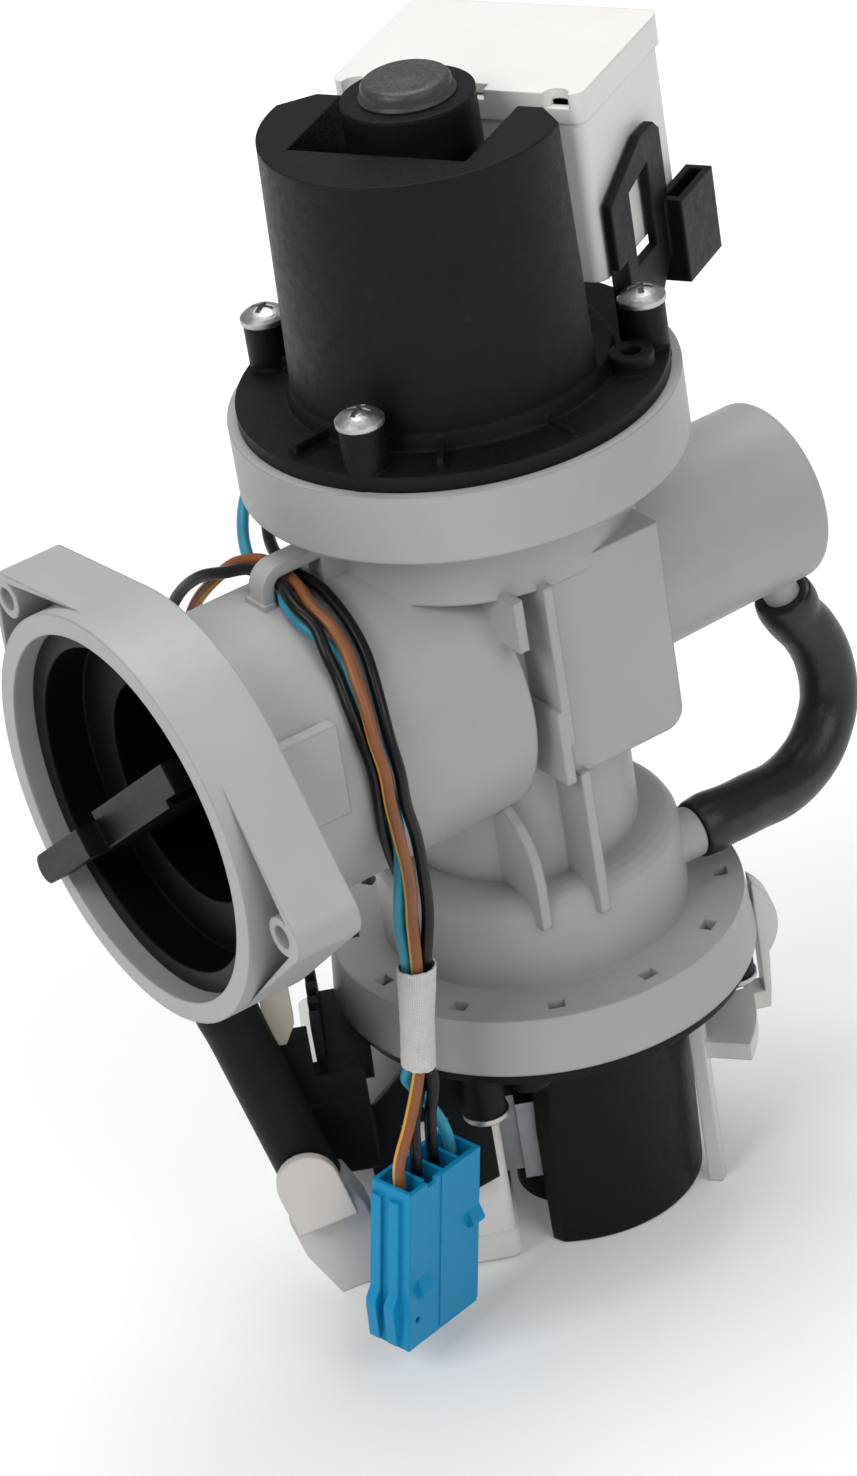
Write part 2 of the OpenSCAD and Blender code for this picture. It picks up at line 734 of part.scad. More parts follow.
// Motor bracket: a can with an open back on a round plate
module d_can(r_base, r_end, z0, z1, back) {
  intersection() {
    translate([0, 0, z0]) cylinder(h = z1 - z0, r1 = r_base, r2 = r_end);
    translate([0, 0, z0]) linear_extrude(z1 - z0) polygon([
      [-2 * r_base, -2 * r_base], [2 * r_base, -2 * r_base],
      [2 * r_base, back + can_corner_u - 2 * r_base], [can_corner_u, back],
      [-can_corner_u, back], [-2 * r_base, back + can_corner_u - 2 * r_base]
    ]);
  }
}

module can_shell(h, r_end, depth) {
  difference() {
    d_can(r_end + can_draft, r_end, 0, h, can_back);
    difference() {
      d_can(r_end + can_draft - can_wall, r_end - can_wall, plate_t, h - can_top_t, can_back + over);
      block([-pocket_w / 2 - pocket_wall, -pocket_front - pocket_wall, h - depth - pocket_wall],
        [pocket_w / 2 + pocket_wall, can_back, h]);
    }
    block([-pocket_w / 2, -pocket_front, h - depth], [pocket_w / 2, can_back + over, h + over]);
  }
}

// An outline in the motor's length and depth, stood up along the side of the stator housing
module side_plate(from, to) {
  translate([from, 0, 0]) rotate([90, 0, 90]) linear_extrude(to - from) children();
}

// Window-shaped wire guide and terminal shroud beside the stator housing
module guide_and_shroud() {
  difference() {
    union() {
      side_plate(guide_in, guide_in + guide_t) polygon([
        [guide_from, 0], [guide_foot_to, 0], [guide_to, guide_foot_z], [guide_to, guide_h - guide_drop / 3],
        [guide_to - guide_drop / 3, guide_h], [guide_from + guide_shoulder, guide_h],
        [guide_from, guide_h - guide_drop]
      ]);
      block([guide_in, shroud_from - guide_t, shroud_z], [shroud_out, shroud_to, shroud_z + shroud_h]);
    }
    side_plate(guide_in - over, guide_in + guide_t + over) polygon([
      [guide_window_from, guide_window_z], [guide_window_to, guide_window_z],
      [guide_window_to, guide_window_z + guide_window_h],
      [guide_window_from, guide_window_z + guide_window_h - guide_window_drop]
    ]);
    block([guide_in + shroud_wall, shroud_from, shroud_z + 2 * shroud_wall],
      [shroud_out - shroud_wall, shroud_to - shroud_wall, shroud_z + shroud_h + over]);
  }
}

// Raised walls, lip and thin ribs on the plate
module plate_ribs(r_base) {
  rib_h = 2.4;
  block([-plate_r + over, -boss_r, plate_t - over], [-r_base, boss_r, plate_t + rib_h]);
  rotate([0, 0, 246]) block([r_base - over, -rib_t / 2, plate_t - over], [plate_r - 2 * over, rib_t / 2, plate_t + rib_h]);
  rotate([0, 0, 292]) block([r_base - over, -rib_t / 4, plate_t - over], [plate_r - 2 * over, rib_t / 4, plate_t + rib_h]);
  rotate([0, 0, 330]) block([r_base - over, -rib_t / 4, plate_t - over], [plate_r - 2 * over, rib_t / 4, plate_t + rib_h / 2]);
}

module motor_bracket(h, r_end, nose, depth) {
  bore_h = h - depth;
  r_base = r_end + can_draft;
  color("#26262a") difference() {
    union() {
      difference() {
        cylinder(h = plate_t, r = plate_r);
        block([-stator_w / 2, can_back + plate_t, -over], [stator_w / 2, stator_front + stator_edge_r, plate_t + over]);
      }
      translate([0, 0, plate_t]) cylinder(h = plate_t, r1 = r_base + bead_r, r2 = r_base);
      ring(pump_bore_r - spigot_clear, pump_bore_r - spigot_clear - can_wall, -spigot_h, over);
      can_shell(h, r_end, depth);
      at_screws() cylinder(h = boss_h, r = boss_r);
      rotate([0, 0, spare_boss_angle]) translate([screw_circle_r - spare_boss_inset, 0, 0])
        cylinder(h = spare_boss_h, r = boss_r);
      guide_and_shroud();
      plate_ribs(r_base);
      cylinder(h = h + nose, r = sleeve_r);
    }
    translate([0, 0, -spigot_h]) cylinder(h = bore_h + spigot_h, r = sleeve_bore_r);
    translate([0, 0, bore_h - over]) cylinder(h = bush_h + over, r = bush_r);
    translate([0, 0, -spigot_h]) difference() {
      cylinder(h = spigot_h, r = plate_r);
      ring(pump_bore_r - spigot_clear, pump_bore_r - spigot_clear - can_wall, -over, spigot_h + over);
    }
    seal_groove();
    at_screws() translate([0, 0, -over]) cylinder(h = boss_h + 2 * over, r = screw_hole_r);
    at_screws() translate([0, 0, boss_h]) cylinder(h = 2 * head_h, r = head_r + head_clear);
    rotate([0, 0, spare_boss_angle]) translate([screw_circle_r - spare_boss_inset, 0, -over])
      cylinder(h = spare_boss_h + 2 * over, r = screw_hole_r);
    if (nose > 0) translate([0, 0, h + nose - nose_stem_h]) cylinder(h = nose_stem_h + over, r = nose_stem_r);
  }
}

// Groove and seal ring round the plate's spigot
seal_groove_z = 3.4;
module seal_groove() {
  ring(pump_bore_r + over, pump_bore_r - spigot_clear - seal_depth, -seal_groove_z, -seal_groove_z + seal_t);
}
module motor_seal() {
  color("black") ring(pump_bore_r - pilot_clear, pump_bore_r - spigot_clear - seal_depth + pilot_clear,
    -seal_groove_z + pilot_clear, -seal_groove_z + seal_t - pilot_clear);
}

// Stator housing: a box with rounded upright edges and a stepped lid
module rounded_upright(x0, x1, y0, y1, z0, z1, r) {
  block([x0 + r, y0, z0], [x1 - r, y1, z1]);
  block([x0, y0 + r, z0], [x1, y1 - r, z1]);
  for (x = [x0 + r, x1 - r]) for (y = [y0 + r, y1 - r]) translate([x, y, z0]) cylinder(h = z1 - z0, r = r);
}

module stator_housing(h, bore_h) {
  x0 = stator_shift - stator_w / 2;
  x1 = stator_shift + stator_w / 2;
  y1 = stator_front + stator_d;
  w = stator_wall;
  color("whitesmoke") difference() {
    union() {
      rounded_upright(x0 + stator_lid_step, x1 - stator_lid_step, stator_front + stator_lid_step,
        y1 - stator_lid_step, stator_z, h, stator_edge_r);
      rounded_upright(x0, x1, stator_front, y1, h - stator_lid_t, h, stator_edge_r);
    }
    block([x0 + w, stator_front + w, stator_z + w], [x1 - w, y1 - w, h - w]);
    for (s = [-1, 1]) {
      block([min(s * leg_in, s * leg_out) - slot_clear, stator_front - over, core_z - slot_clear],
        [max(s * leg_in, s * leg_out) + slot_clear, stator_front + w + over, core_z + core_h(bore_h) + slot_clear]);
      translate([stator_shift + s * (stator_w / 2 - 2 * stator_edge_r), stator_front, h - stator_lid_t / 2])
        cylinder(h = stator_lid_t, r = stator_edge_r);
    }
    block([stator_shift - stator_lid_t, stator_front - over, h - stator_lid_t / 3],
      [stator_shift + stator_lid_t, stator_front + stator_edge_r, h + over]);
  }
}

// Iron core: two legs beside the rotor and a yoke inside the housing
function core_h(bore_h) = bore_h - pocket_wall - core_gap - core_z;
module stator_core(bore_h) {
  top = core_z + core_h(bore_h);
  color("slategray") difference() {
    union() {
      for (s = [-1, 1]) {
        block([min(s * leg_in, s * leg_out), -pole_front, core_z], [max(s * leg_in, s * leg_out), yoke_back, top]);
        block([min(s * leg_in, s * pole_out), -pole_front, core_z], [max(s * leg_in, s * pole_out), pole_front, top]);
      }
      block([-leg_out, yoke_back - yoke_t, core_z], [leg_out, yoke_back, top]);
    }
    translate([0, 0, core_z - over]) cylinder(h = core_h(bore_h) + 2 * over, r = sleeve_r + pole_gap);
  }
}

// Two wound coils, one round each leg
module stator_coils(bore_h) {
  top = core_z + core_h(bore_h);
  color("peru") for (s = [-1, 1]) {
    a = min(s * leg_in, s * leg_out);
    b = max(s * leg_in, s * leg_out);
    difference() {
      block([a - coil_t - coil_clear, coil_front, core_z - coil_t], [b + coil_t + coil_clear, coil_back, top + coil_t]);
      block([a - coil_clear, coil_front - over, core_z - coil_clear], [b + coil_clear, coil_back + over, top + coil_clear]);
    }
  }
}

// Rotor: magnet, shaft, two bushes and the holder of the inner bush
holder_z = 1;
holder_h = 6;
magnet_z = 19;
magnet_gap = 2;
module rotor_magnet(bore_h) {
  magnet_h = bore_h - magnet_gap - magnet_z;
  color("gray") difference() {
    translate([0, 0, magnet_z]) cylinder(h = magnet_h, r = magnet_r);
    translate([0, 0, magnet_z - over]) cylinder(h = magnet_h + 2 * over, r = shaft_r);
  }
}
module rotor_shaft(bore_h) {
  color("lightsteelblue") translate([0, 0, -impeller_reach + over])
    cylinder(h = impeller_reach - over + bore_h + bush_h / 2, r = shaft_r);
}
module rotor_bushes(bore_h) {
  color("tan") for (z = [holder_z + over, bore_h]) translate([0, 0, z]) difference() {
    cylinder(h = bush_h, r = bush_r);
    translate([0, 0, -over]) cylinder(h = bush_h + 2 * over, r = shaft_r + bush_clear);
  }
}
module bearing_holder() {
  color("dimgray") difference() {
    translate([0, 0, holder_z]) cylinder(h = holder_h, r = sleeve_bore_r);
    translate([0, 0, holder_z + over]) cylinder(h = bush_h, r = bush_r);
    translate([0, 0, holder_z - over]) cylinder(h = holder_h + 2 * over, r = shaft_r + 2 * over / 3);
  }
}

// Impeller: hub, back disc and straight blades that work in both senses
module impeller() {
  hub_r = 5;
  blade_t = 1.8;
  disc_t = 1.6;
  top = spigot_h + over;
  color("dimgray") difference() {
    union() {
      translate([0, 0, -impeller_reach]) cylinder(h = impeller_reach - top, r = hub_r);
      translate([0, 0, -top - disc_t]) cylinder(h = disc_t - over / 2, r = impeller_r * 0.7);
      for (i = [0:blade_count - 1]) rotate([0, 0, 360 * (i + 0.25) / blade_count])
        block([hub_r - over, -blade_t / 2, -impeller_reach], [impeller_r, blade_t / 2, -top]);
    }
    translate([0, 0, -impeller_reach + over]) cylinder(h = impeller_reach, r = shaft_r);
  }
}

// Pan-head screws with a domed top and a cross recess
dome_h = 2 * head_h / 3;
dome_r = (head_r * head_r + dome_h * dome_h) / (2 * dome_h);
module motor_screws() {
  color("silver") at_screws() difference() {
    union() {
      translate([0, 0, boss_h]) rotate_extrude()
        polygon(concat([[0, 0], [head_r, 0]], arc(0, head_h - dome_r, dome_r, acos(head_r / dome_r), 90, 6)));
      translate([0, 0, over - pilot_depth]) cylinder(h = boss_h + pilot_depth - over / 2, r = shank_r);
    }
    for (a = [0, 90]) rotate([0, 0, a])
      block([-head_r / 2, -head_r / 9, boss_h + head_h / 2], [head_r / 2, head_r / 9, boss_h + head_h + over]);
  }
}

// Rubber cap on the upper motor's nose
module upper_nose_cap() {
  edge = nose_cap_h / 2;
  color("#303030") upper_motor_frame() translate([0, 0, upper_can_h + nose_rise]) {
    rotate_extrude() polygon(concat([[0, 0], [nose_cap_r, 0]],
      arc(nose_cap_r - edge, nose_cap_h - edge, edge, 0, 90, 5), [[0, nose_cap_h]]));
    translate([0, 0, -nose_stem_h + pilot_clear]) cylinder(h = nose_stem_h, r = nose_stem_r - pilot_clear);
  }
}

// Pale terminal plug in front of the lower flange, and the black holder and guard that it stands on
plug_from = 50.4;
plug_to = 56.2;
plug_foot = -10.7;
plug_tall = 16.5;
plug_taper = 2.2;
guard_at = 45.6;
guard_t = 2;
guard_to = 27;
guard_tall = 11;
tooth_w = 2.6;
module terminal_plug() {
  color("beige") side_plate(guide_in + shroud_wall, shroud_out) polygon([
    [plug_from + plug_taper, plug_foot], [plug_to - plug_taper, plug_foot], [plug_to, plug_foot - 2 * plug_taper],
    [plug_to, plug_foot - plug_tall], [plug_from, plug_foot - plug_tall], [plug_from, plug_foot - 2 * plug_taper]
  ]);
}
module lower_guard() {
  color("#26262a") {
    block([guide_in, plug_from - guard_t, plug_foot], [shroud_out, plug_to, shroud_z + over]);
    block([guide_in, shroud_from - guide_t, -guard_t], [shroud_out, plug_to, shroud_z + over]);
    difference() {
      block([0, guard_at, -guard_tall], [guard_to + guard_t, guard_at + guard_t, plate_t]);
      for (k = [1:4]) block([k * 2 * tooth_w, guard_at - over, -guard_tall - over],
        [(2 * k + 1) * tooth_w, guard_at + guard_t + over, -guard_tall / 2]);
    }
    block([0, plate_r - 2 * guard_t, 0], [guard_to + guard_t, guard_at + guard_t, plate_t]);
  }
}

// Small plug on the side of the upper stator housing
small_plug_w = 9;
small_plug_t = 7;
small_plug_h = 14;
small_plug_z = 18;
module upper_terminal_plug() {
  x0 = stator_shift - stator_w / 2 + stator_lid_step;
  y = stator_front + stator_d - 2 * stator_edge_r;
  color("beige") upper_motor_frame()
    block([x0 - small_plug_t, y - small_plug_w, small_plug_z], [x0, y, small_plug_z + small_plug_h]);
}

// Rubber hose from the lower pump's nozzle to the inlet tube's vent
bypass_points = [
  [15, 29.4, 74.2], [15, 34.6, 74.2], [14.9, 39.5, 73.8], [13.8, 45.5, 72.9], [12.8, 51.5, 71.9], [11, 58.8, 72.2],
  [9.6, 64.3, 74.2], [8, 68.6, 77.4], [6.8, 71.5, 81.6], [5.8, 72.6, 86.6], [5, 72.2, 92.4], [4.4, 70.2, 98],
  [4, 67.2, 103], [4, 66.2, 105.8], [4, 65.3, 108.3]
];
module bypass_hose() {
  color("#1c1c1e") hollow_tube(bypass_points, hose_r, hose_bore_r, 12, [1, 0, 0]);
}

// Straight rubber hose for the last water, from under the port collar
drain_hose_l = 47.8;
module drain_hose() {
  color("#1c1c1e") tap_frame() difference() {
    cylinder(h = drain_hose_l, r = hose_r);
    translate([0, 0, -over]) cylinder(h = drain_hose_l + 2 * over, r = hose_bore_r);
  }
}

// Stopper in the hose's free end: stem, round collar, a flat grip and a rounded thumb tab
stopper_stem_h = 10;
stopper_stem_clear = 0.08;
stopper_collar_r = 6.6;
stopper_collar_h = 6;
stopper_grip_w = 15;
stopper_grip_t = 7;
stopper_grip_h = 24;
stopper_tab_t = 2;
stopper_tab_gap = 0.3;
stopper_tab_z = 4;
stopper_turn = -60;
stopper_tab_share = 0.82;
stopper_neck_share = 0.66;
module drain_plug() {
  w = stopper_grip_w / 2;
  h = stopper_grip_h;
  tab_y = hose_r + stopper_tab_gap;
  color("antiquewhite") tap_frame() translate([0, 0, drain_hose_l]) {
    translate([0, 0, -stopper_stem_h]) cylinder(h = stopper_stem_h + over, r = hose_bore_r - stopper_stem_clear);
    cylinder(h = stopper_collar_h, r = stopper_collar_r);
    rotate([0, 0, stopper_turn]) {
      translate([0, stopper_grip_t / 2, 0]) rotate([90, 0, 0]) linear_extrude(stopper_grip_t)
        polygon([[-w * 0.8, 0], [w * 0.8, 0], [w, h * 0.3], [w, h * 0.6], [w * 0.4, h], [-w * 0.6, h], [-w, h * 0.55], [-w, h * 0.2]]);
      translate([0, tab_y + stopper_tab_t, 0]) rotate([90, 0, 0]) linear_extrude(stopper_tab_t)
        polygon(concat([[w * stopper_tab_share, stopper_collar_h], [-w * stopper_tab_share, stopper_collar_h]],
          arc(0, -stopper_tab_z, w * stopper_tab_share, 180, 360, 12)));
      block([-w * stopper_neck_share, 0, over], [w * stopper_neck_share, tab_y + stopper_tab_t / 2, stopper_collar_h - over / 2]);
      for (k = [1:4]) block([-w / 2, -stopper_grip_t / 2 - stopper_tab_gap, stopper_collar_h + (k - 1 / 2) * stopper_tab_z],
        [w / 2, 0, stopper_collar_h + (k - 1 / 2) * stopper_tab_z + over]);
    }
  }
}

// Harness wires: through the hook, down beside the duct and into the connector
blue_points = [
  [-46.6, 21.6, 198.7], [-46.8, 21.2, 193], [-49.4, 15.6, 184], [-49.6, 3.6, 174], [-47.4, -8.4, 165.6],
  [-41.6, -18.4, 160.6], [-32.6, -30.2, 158.2], [-22, -38, 155.6], [-14, -41.5, 154.4], [-8, -43.8, 156.1],
  [0, -44.1, 156.7], [6.3, -46.8, 156.3], [11.3, -47.3, 154.8], [16.7, -45.9, 152.1], [21, -45.3, 148.8],
  [24.4, -45.9, 145.3], [28.3, -46.4, 139.3], [30.8, -46.5, 132.8], [31.5, -46.4, 125.5], [32.6, -46.7, 118.5],
  [33, -47.7, 112], [32.6, -48.7, 106], [31.5, -49.1, 100], [31.6, -49.3, 89], [30.1, -51.7, 66.5], [28.4, -51.9, 63],
  [27.3, -50.4, 60], [27.2, -47.8, 55], [27.6, -45, 47], [27.4, -44.4, 40.9]
];
black_upper_points = [
  [-46.6, 25, 198.7], [-46.6, 24.6, 193], [-47.4, 18, 184], [-47.6, 6, 174], [-45.4, -6, 165.6], [-39.6, -16, 160.6],
  [-30.6, -26.5, 159.4], [-20, -33.5, 158.6], [-14, -36.8, 158.3], [-8, -39, 158.1], [0, -39.5, 157.6], [6, -39.2, 157],
  [11.8, -39.4, 155.1], [17.1, -39.9, 152.4], [21.7, -40.8, 148.9], [24.5, -41.8, 146], [27.8, -43.1, 141.7],
  [30.8, -44.2, 136.3], [32.9, -44.5, 130.2], [33.8, -44.9, 124], [34, -44.1, 117.5], [34, -43.9, 108], [33.9, -44.2, 100],
  [33.4, -46.3, 89], [31.9, -48.7, 66.5], [32.4, -48.4, 63], [32.2, -48.8, 60], [30.7, -49.2, 55], [29.3, -49.4, 47],
  [29, -49.6, 41.4]
];
brown_points = [
  [0.9, -60.4, 80.1], [0.9, -60.4, 83.5], [-1.5, -59, 87.5], [-8, -56.4, 90], [-22, -52, 96], [-31, -49, 108], [-34, -48, 124], [-31, -47.5, 140],
  [-20.5, -46, 152], [-14, -44.6, 157.2], [-8, -42.4, 159], [0, -42.1, 158.5], [5, -43, 158.4], [11, -44.6, 157.4],
  [17, -44.2, 154.6], [22, -44.9, 151.1], [25, -45.9, 148.2], [28.5, -46.8, 143.7], [31.4, -47.8, 138.2],
  [33.6, -48, 132], [34.2, -48.3, 125.4], [35.1, -48.2, 118.5], [35.6, -48, 112], [35.3, -48, 106],
  [34.5, -48.2, 100], [34, -48.7, 89], [32.5, -51.1, 66.5],
  [32.8, -55.6, 56], [32.5, -59.2, 48], [32.2, -59.8, 42.5]
];
black_lower_points = [
  [-0.5, -62.8, 80.1], [-0.5, -62.8, 83.5], [-2.8, -62.2, 87.5], [-8, -60, 90], [-22, -56, 93], [-33, -52.5, 107], [-36.6, -51.5, 124],
  [-33.6, -50.5, 141], [-21.4, -48.8, 153.2], [-14, -47.4, 156.3], [-8, -45.8, 158.6], [0, -45.3, 159], [4, -45.5, 158.9],
  [6.5, -46.5, 158.9], [10.4, -47.3, 158], [15.5, -46.9, 155.7], [19.5, -47.8, 151.9], [22.2, -47.8, 147.8], [25.8, -48.6, 143.4],
  [29.1, -49, 137.8], [31.2, -49, 131.5], [31.5, -49.1, 125], [30.7, -48.7, 118.5], [30.2, -47.7, 112], [30.6, -46.7, 106],
  [31.3, -46.3, 100], [31, -46.9, 89], [29.5, -49.3, 66.5], [30, -49.4, 63], [30.5, -51, 60], [30.4, -52.8, 55], [30.9, -54.2, 47], [30.6, -54.7, 41.9]
];
module wire_blue() {
  color("deepskyblue") solid_tube(blue_points, wire_r, 8, [0.3, 0.1, 0.95]);
}
module wire_black_upper() {
  color("#222222") solid_tube(black_upper_points, wire_r, 8, [0.3, 0.1, 0.95]);
}
module wire_brown() {
  color("sienna") solid_tube(brown_points, wire_r, 8, [0.9, 0.3, 0.3]);
}
module wire_black_lower() {
  color("#222222") solid_tube(black_lower_points, wire_r, 8, [0.9, 0.3, 0.3]);
}

// Woven tape round the four wires
sleeve_points = [[32.5, -47.8, 88.8], [31, -50.2, 66.7]];
sleeve_bore = 3.3;
sleeve_skin = 0.5;
module tape_sleeve() {
  color("white") hollow_tube(sleeve_points, sleeve_bore + sleeve_skin, sleeve_bore, 16, [1, 0, 0]);
}

// Four-way connector on the free end of the harness
connector_at = [30, -51.8, 44];
connector_turn = [-5.7, 6.7, 16.5];
connector_w = 21.4;
connector_d = 9.4;
connector_h = 37;
cavity_count = 4;
cavity_depth = 9;
cavity_wall = 0.9;
latch_w = 2.4;
latch_t = 0.9;
latch_kick = 2.2;
nub_w = 3.6;
nub_t = 2.2;
nub_high_share = 0.52;
nub_low_share = 0.3;
seam_share = 0.44;
seam_step = 0.25;
dot_r = 0.7;
module harness_connector() {
  d = connector_d;
  w = connector_w;
  h = connector_h;
  pitch = (w - cavity_wall) / cavity_count;
  color("#1e88c8") translate(connector_at) rotate(connector_turn) translate([-d / 2, -w / 2, -h]) {
    difference() {
      union() {
        cube([d, w, h]);
        block([d - over, w * seam_share, over], [d + seam_step, w, h]);
      }
      for (i = [0:cavity_count - 1]) translate([cavity_wall, cavity_wall + i * pitch, h - cavity_depth])
        cube([d - 2 * cavity_wall, pitch - cavity_wall, cavity_depth + over]);
      block([d - cavity_wall - over / 2, w / 4, h - over], [d + over, w / 4 + latch_w, h + over]);
      translate([d - over, w / 8, h / 6]) rotate([0, 90, 0]) cylinder(h = 2 * over, r = dot_r);
    }
    for (p = [[w - nub_w / 2, h * nub_high_share], [w / 5, h * nub_low_share]])
      translate([d - over / 2, p[0] + nub_w / 2, p[1]]) rotate([90, 0, 0]) linear_extrude(nub_w)
        polygon([[0, 0], [nub_t, nub_w * 0.4], [nub_t, nub_w * 0.6], [0, nub_w * 1.6]]);
    for (x = [latch_t / 2, 2 * latch_w]) translate([x, 0, 0]) rotate([90, 0, 90]) linear_extrude(latch_w)
      polygon([[over, h * 0.93], [-latch_t, h * 0.93], [-latch_t, h * 0.34], [-latch_kick, h * 0.28],
        [-latch_kick, h * 0.24], [-latch_t, h * 0.02], [over, h * 0.02]]);
  }
}

module upper_motor_bracket() { upper_motor_frame() motor_bracket(upper_can_h, upper_can_r, nose_rise, pocket_depth); }
module upper_stator_housing() { upper_motor_frame() stator_housing(upper_can_h - stator_top_gap, upper_bore_h); }
module upper_stator_core() { upper_motor_frame() stator_core(upper_bore_h); }
module upper_stator_coils() { upper_motor_frame() stator_coils(upper_bore_h); }
module upper_rotor_magnet() { upper_motor_frame() rotor_magnet(upper_bore_h); }
module upper_rotor_shaft() { upper_motor_frame() rotor_shaft(upper_bore_h); }
module upper_rotor_bushes() { upper_motor_frame() rotor_bushes(upper_bore_h); }
module upper_bearing_holder() { upper_motor_frame() bearing_holder(); }
module upper_impeller() { upper_motor_frame() impeller(); }
module upper_motor_seal() { upper_motor_frame() motor_seal(); }
module upper_motor_screws() { upper_motor_frame() motor_screws(); }
module lower_bracket_form() { motor_bracket(lower_motor_h, lower_can_r, 0, lower_pocket_depth); }
module lower_motor_bracket() { lower_motor_frame() lower_bracket_form(); }
module lower_plug_guard() {
  color("#26262a") lower_motor_frame() difference() {
    lower_guard();
    lower_bracket_form();
  }
}
module lower_stator_housing() { lower_motor_frame() stator_housing(lower_motor_h - stator_top_gap, lower_bore_h); }
module lower_stator_core() { lower_motor_frame() stator_core(lower_bore_h); }
module lower_stator_coils() { lower_motor_frame() stator_coils(lower_bore_h); }
module lower_rotor_magnet() { lower_motor_frame() rotor_magnet(lower_bore_h); }
module lower_rotor_shaft() { lower_motor_frame() rotor_shaft(lower_bore_h); }
module lower_rotor_bushes() { lower_motor_frame() rotor_bushes(lower_bore_h); }
module lower_bearing_holder() { lower_motor_frame() bearing_holder(); }
module lower_impeller() { lower_motor_frame() impeller(); }
module lower_motor_seal() { lower_motor_frame() motor_seal(); }
module lower_motor_screws() { lower_motor_frame() motor_screws(); }
module lower_terminal_plug() { lower_motor_frame() terminal_plug(); }

pump_casing();
filter_cap();
filter_basket();
filter_seal();
support_bracket();
upper_motor_bracket();
upper_stator_housing();
upper_stator_core();
upper_stator_coils();
upper_rotor_magnet();
upper_rotor_shaft();
upper_rotor_bushes();
upper_bearing_holder();
upper_impeller();
upper_motor_seal();
upper_motor_screws();
upper_nose_cap();
lower_motor_bracket();
lower_stator_housing();
lower_stator_core();
lower_stator_coils();
lower_rotor_magnet();
lower_rotor_shaft();
lower_rotor_bushes();
lower_bearing_holder();
lower_impeller();
lower_motor_seal();
lower_motor_screws();
lower_terminal_plug();
lower_plug_guard();
upper_terminal_plug();
bypass_hose();
drain_hose();
drain_plug();
wire_blue();
wire_black_upper();
wire_brown();
wire_black_lower();
tape_sleeve();
harness_connector();
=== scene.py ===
import json
import math

import bmesh
import bpy
from mathutils import Matrix, Vector


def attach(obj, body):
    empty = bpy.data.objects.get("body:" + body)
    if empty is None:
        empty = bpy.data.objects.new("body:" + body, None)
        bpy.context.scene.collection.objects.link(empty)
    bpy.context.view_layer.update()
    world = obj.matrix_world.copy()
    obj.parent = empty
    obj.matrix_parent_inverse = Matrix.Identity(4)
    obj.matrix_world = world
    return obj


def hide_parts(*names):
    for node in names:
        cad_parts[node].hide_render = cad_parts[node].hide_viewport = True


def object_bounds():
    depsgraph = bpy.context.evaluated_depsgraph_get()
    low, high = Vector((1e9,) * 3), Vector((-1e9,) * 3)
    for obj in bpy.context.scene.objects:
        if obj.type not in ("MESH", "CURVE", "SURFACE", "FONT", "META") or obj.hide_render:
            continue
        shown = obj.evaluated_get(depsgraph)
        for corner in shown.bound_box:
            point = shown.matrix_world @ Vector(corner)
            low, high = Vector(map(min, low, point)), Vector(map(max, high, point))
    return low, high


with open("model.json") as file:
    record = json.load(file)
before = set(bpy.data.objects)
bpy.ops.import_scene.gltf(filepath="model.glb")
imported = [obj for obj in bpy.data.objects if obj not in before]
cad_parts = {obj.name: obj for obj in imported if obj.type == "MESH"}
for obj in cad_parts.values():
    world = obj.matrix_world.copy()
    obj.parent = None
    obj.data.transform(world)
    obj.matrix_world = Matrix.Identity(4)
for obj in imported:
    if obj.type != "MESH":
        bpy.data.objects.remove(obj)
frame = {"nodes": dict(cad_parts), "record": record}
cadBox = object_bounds()
nodes = frame["nodes"]
print("frame loaded:", len(nodes), "nodes")


# Camera at the photograph's place, looking down at the front corner and rolled a little
camera = {
    "place": (0.747194, -0.452866, 0.624781),
    "azimuth": 59.806,
    "back": (0.74328, -0.43250, 0.51037),
    "roll": -9.579,
    "sensor": 36.0,
    "lens": 127.497,
    "clip": (0.05, 20),
}


def makeCamera(cfg):
    data = bpy.data.cameras.new("camera")
    data.sensor_width, data.lens = cfg["sensor"], cfg["lens"]
    data.clip_start, data.clip_end = cfg["clip"]
    turn, roll = math.radians(cfg["azimuth"]), math.radians(cfg["roll"])
    back = Vector(cfg["back"]).normalized()
    right = Vector((math.cos(turn), math.sin(turn), 0))
    up = back.cross(right)
    across = right * math.cos(roll) + up * math.sin(roll)
    upward = up * math.cos(roll) - right * math.sin(roll)
    m = Matrix((across, upward, back)).transposed().to_4x4()
    m.translation = Vector(cfg["place"])
    obj = bpy.data.objects.new("camera", data)
    obj.matrix_world = m
    bpy.context.scene.collection.objects.link(obj)
    bpy.context.scene.camera = obj


makeCamera(camera)


# Node helpers
def newMaterial(name):
    mat = bpy.data.materials.new(name)
    mat.use_nodes = True
    tree = mat.node_tree
    tree.nodes.clear()
    out = tree.nodes.new("ShaderNodeOutputMaterial")
    shader = tree.nodes.new("ShaderNodeBsdfPrincipled")
    tree.links.new(shader.outputs[0], out.inputs[0])
    return mat, tree, shader


def addNode(tree, kind, inputs=None, **props):
    node = tree.nodes.new(kind)
    for key, value in props.items():
        setattr(node, key, value)
    for key, value in (inputs or {}).items():
        if isinstance(value, bpy.types.NodeSocket):
            tree.links.new(value, node.inputs[key])
        else:
            node.inputs[key].default_value = value
    return node


def objectPlace(tree):
    return addNode(tree, "ShaderNodeTexCoord").outputs["Object"]


def aroundMap(tree):
    uvMap = addNode(tree, "ShaderNodeUVMap").outputs[0]
    return addNode(tree, "ShaderNodeSeparateXYZ", {0: uvMap}).outputs


def noise(tree, place, look):
    return addNode(tree, "ShaderNodeTexNoise", {"Vector": place, **look}).outputs[0]


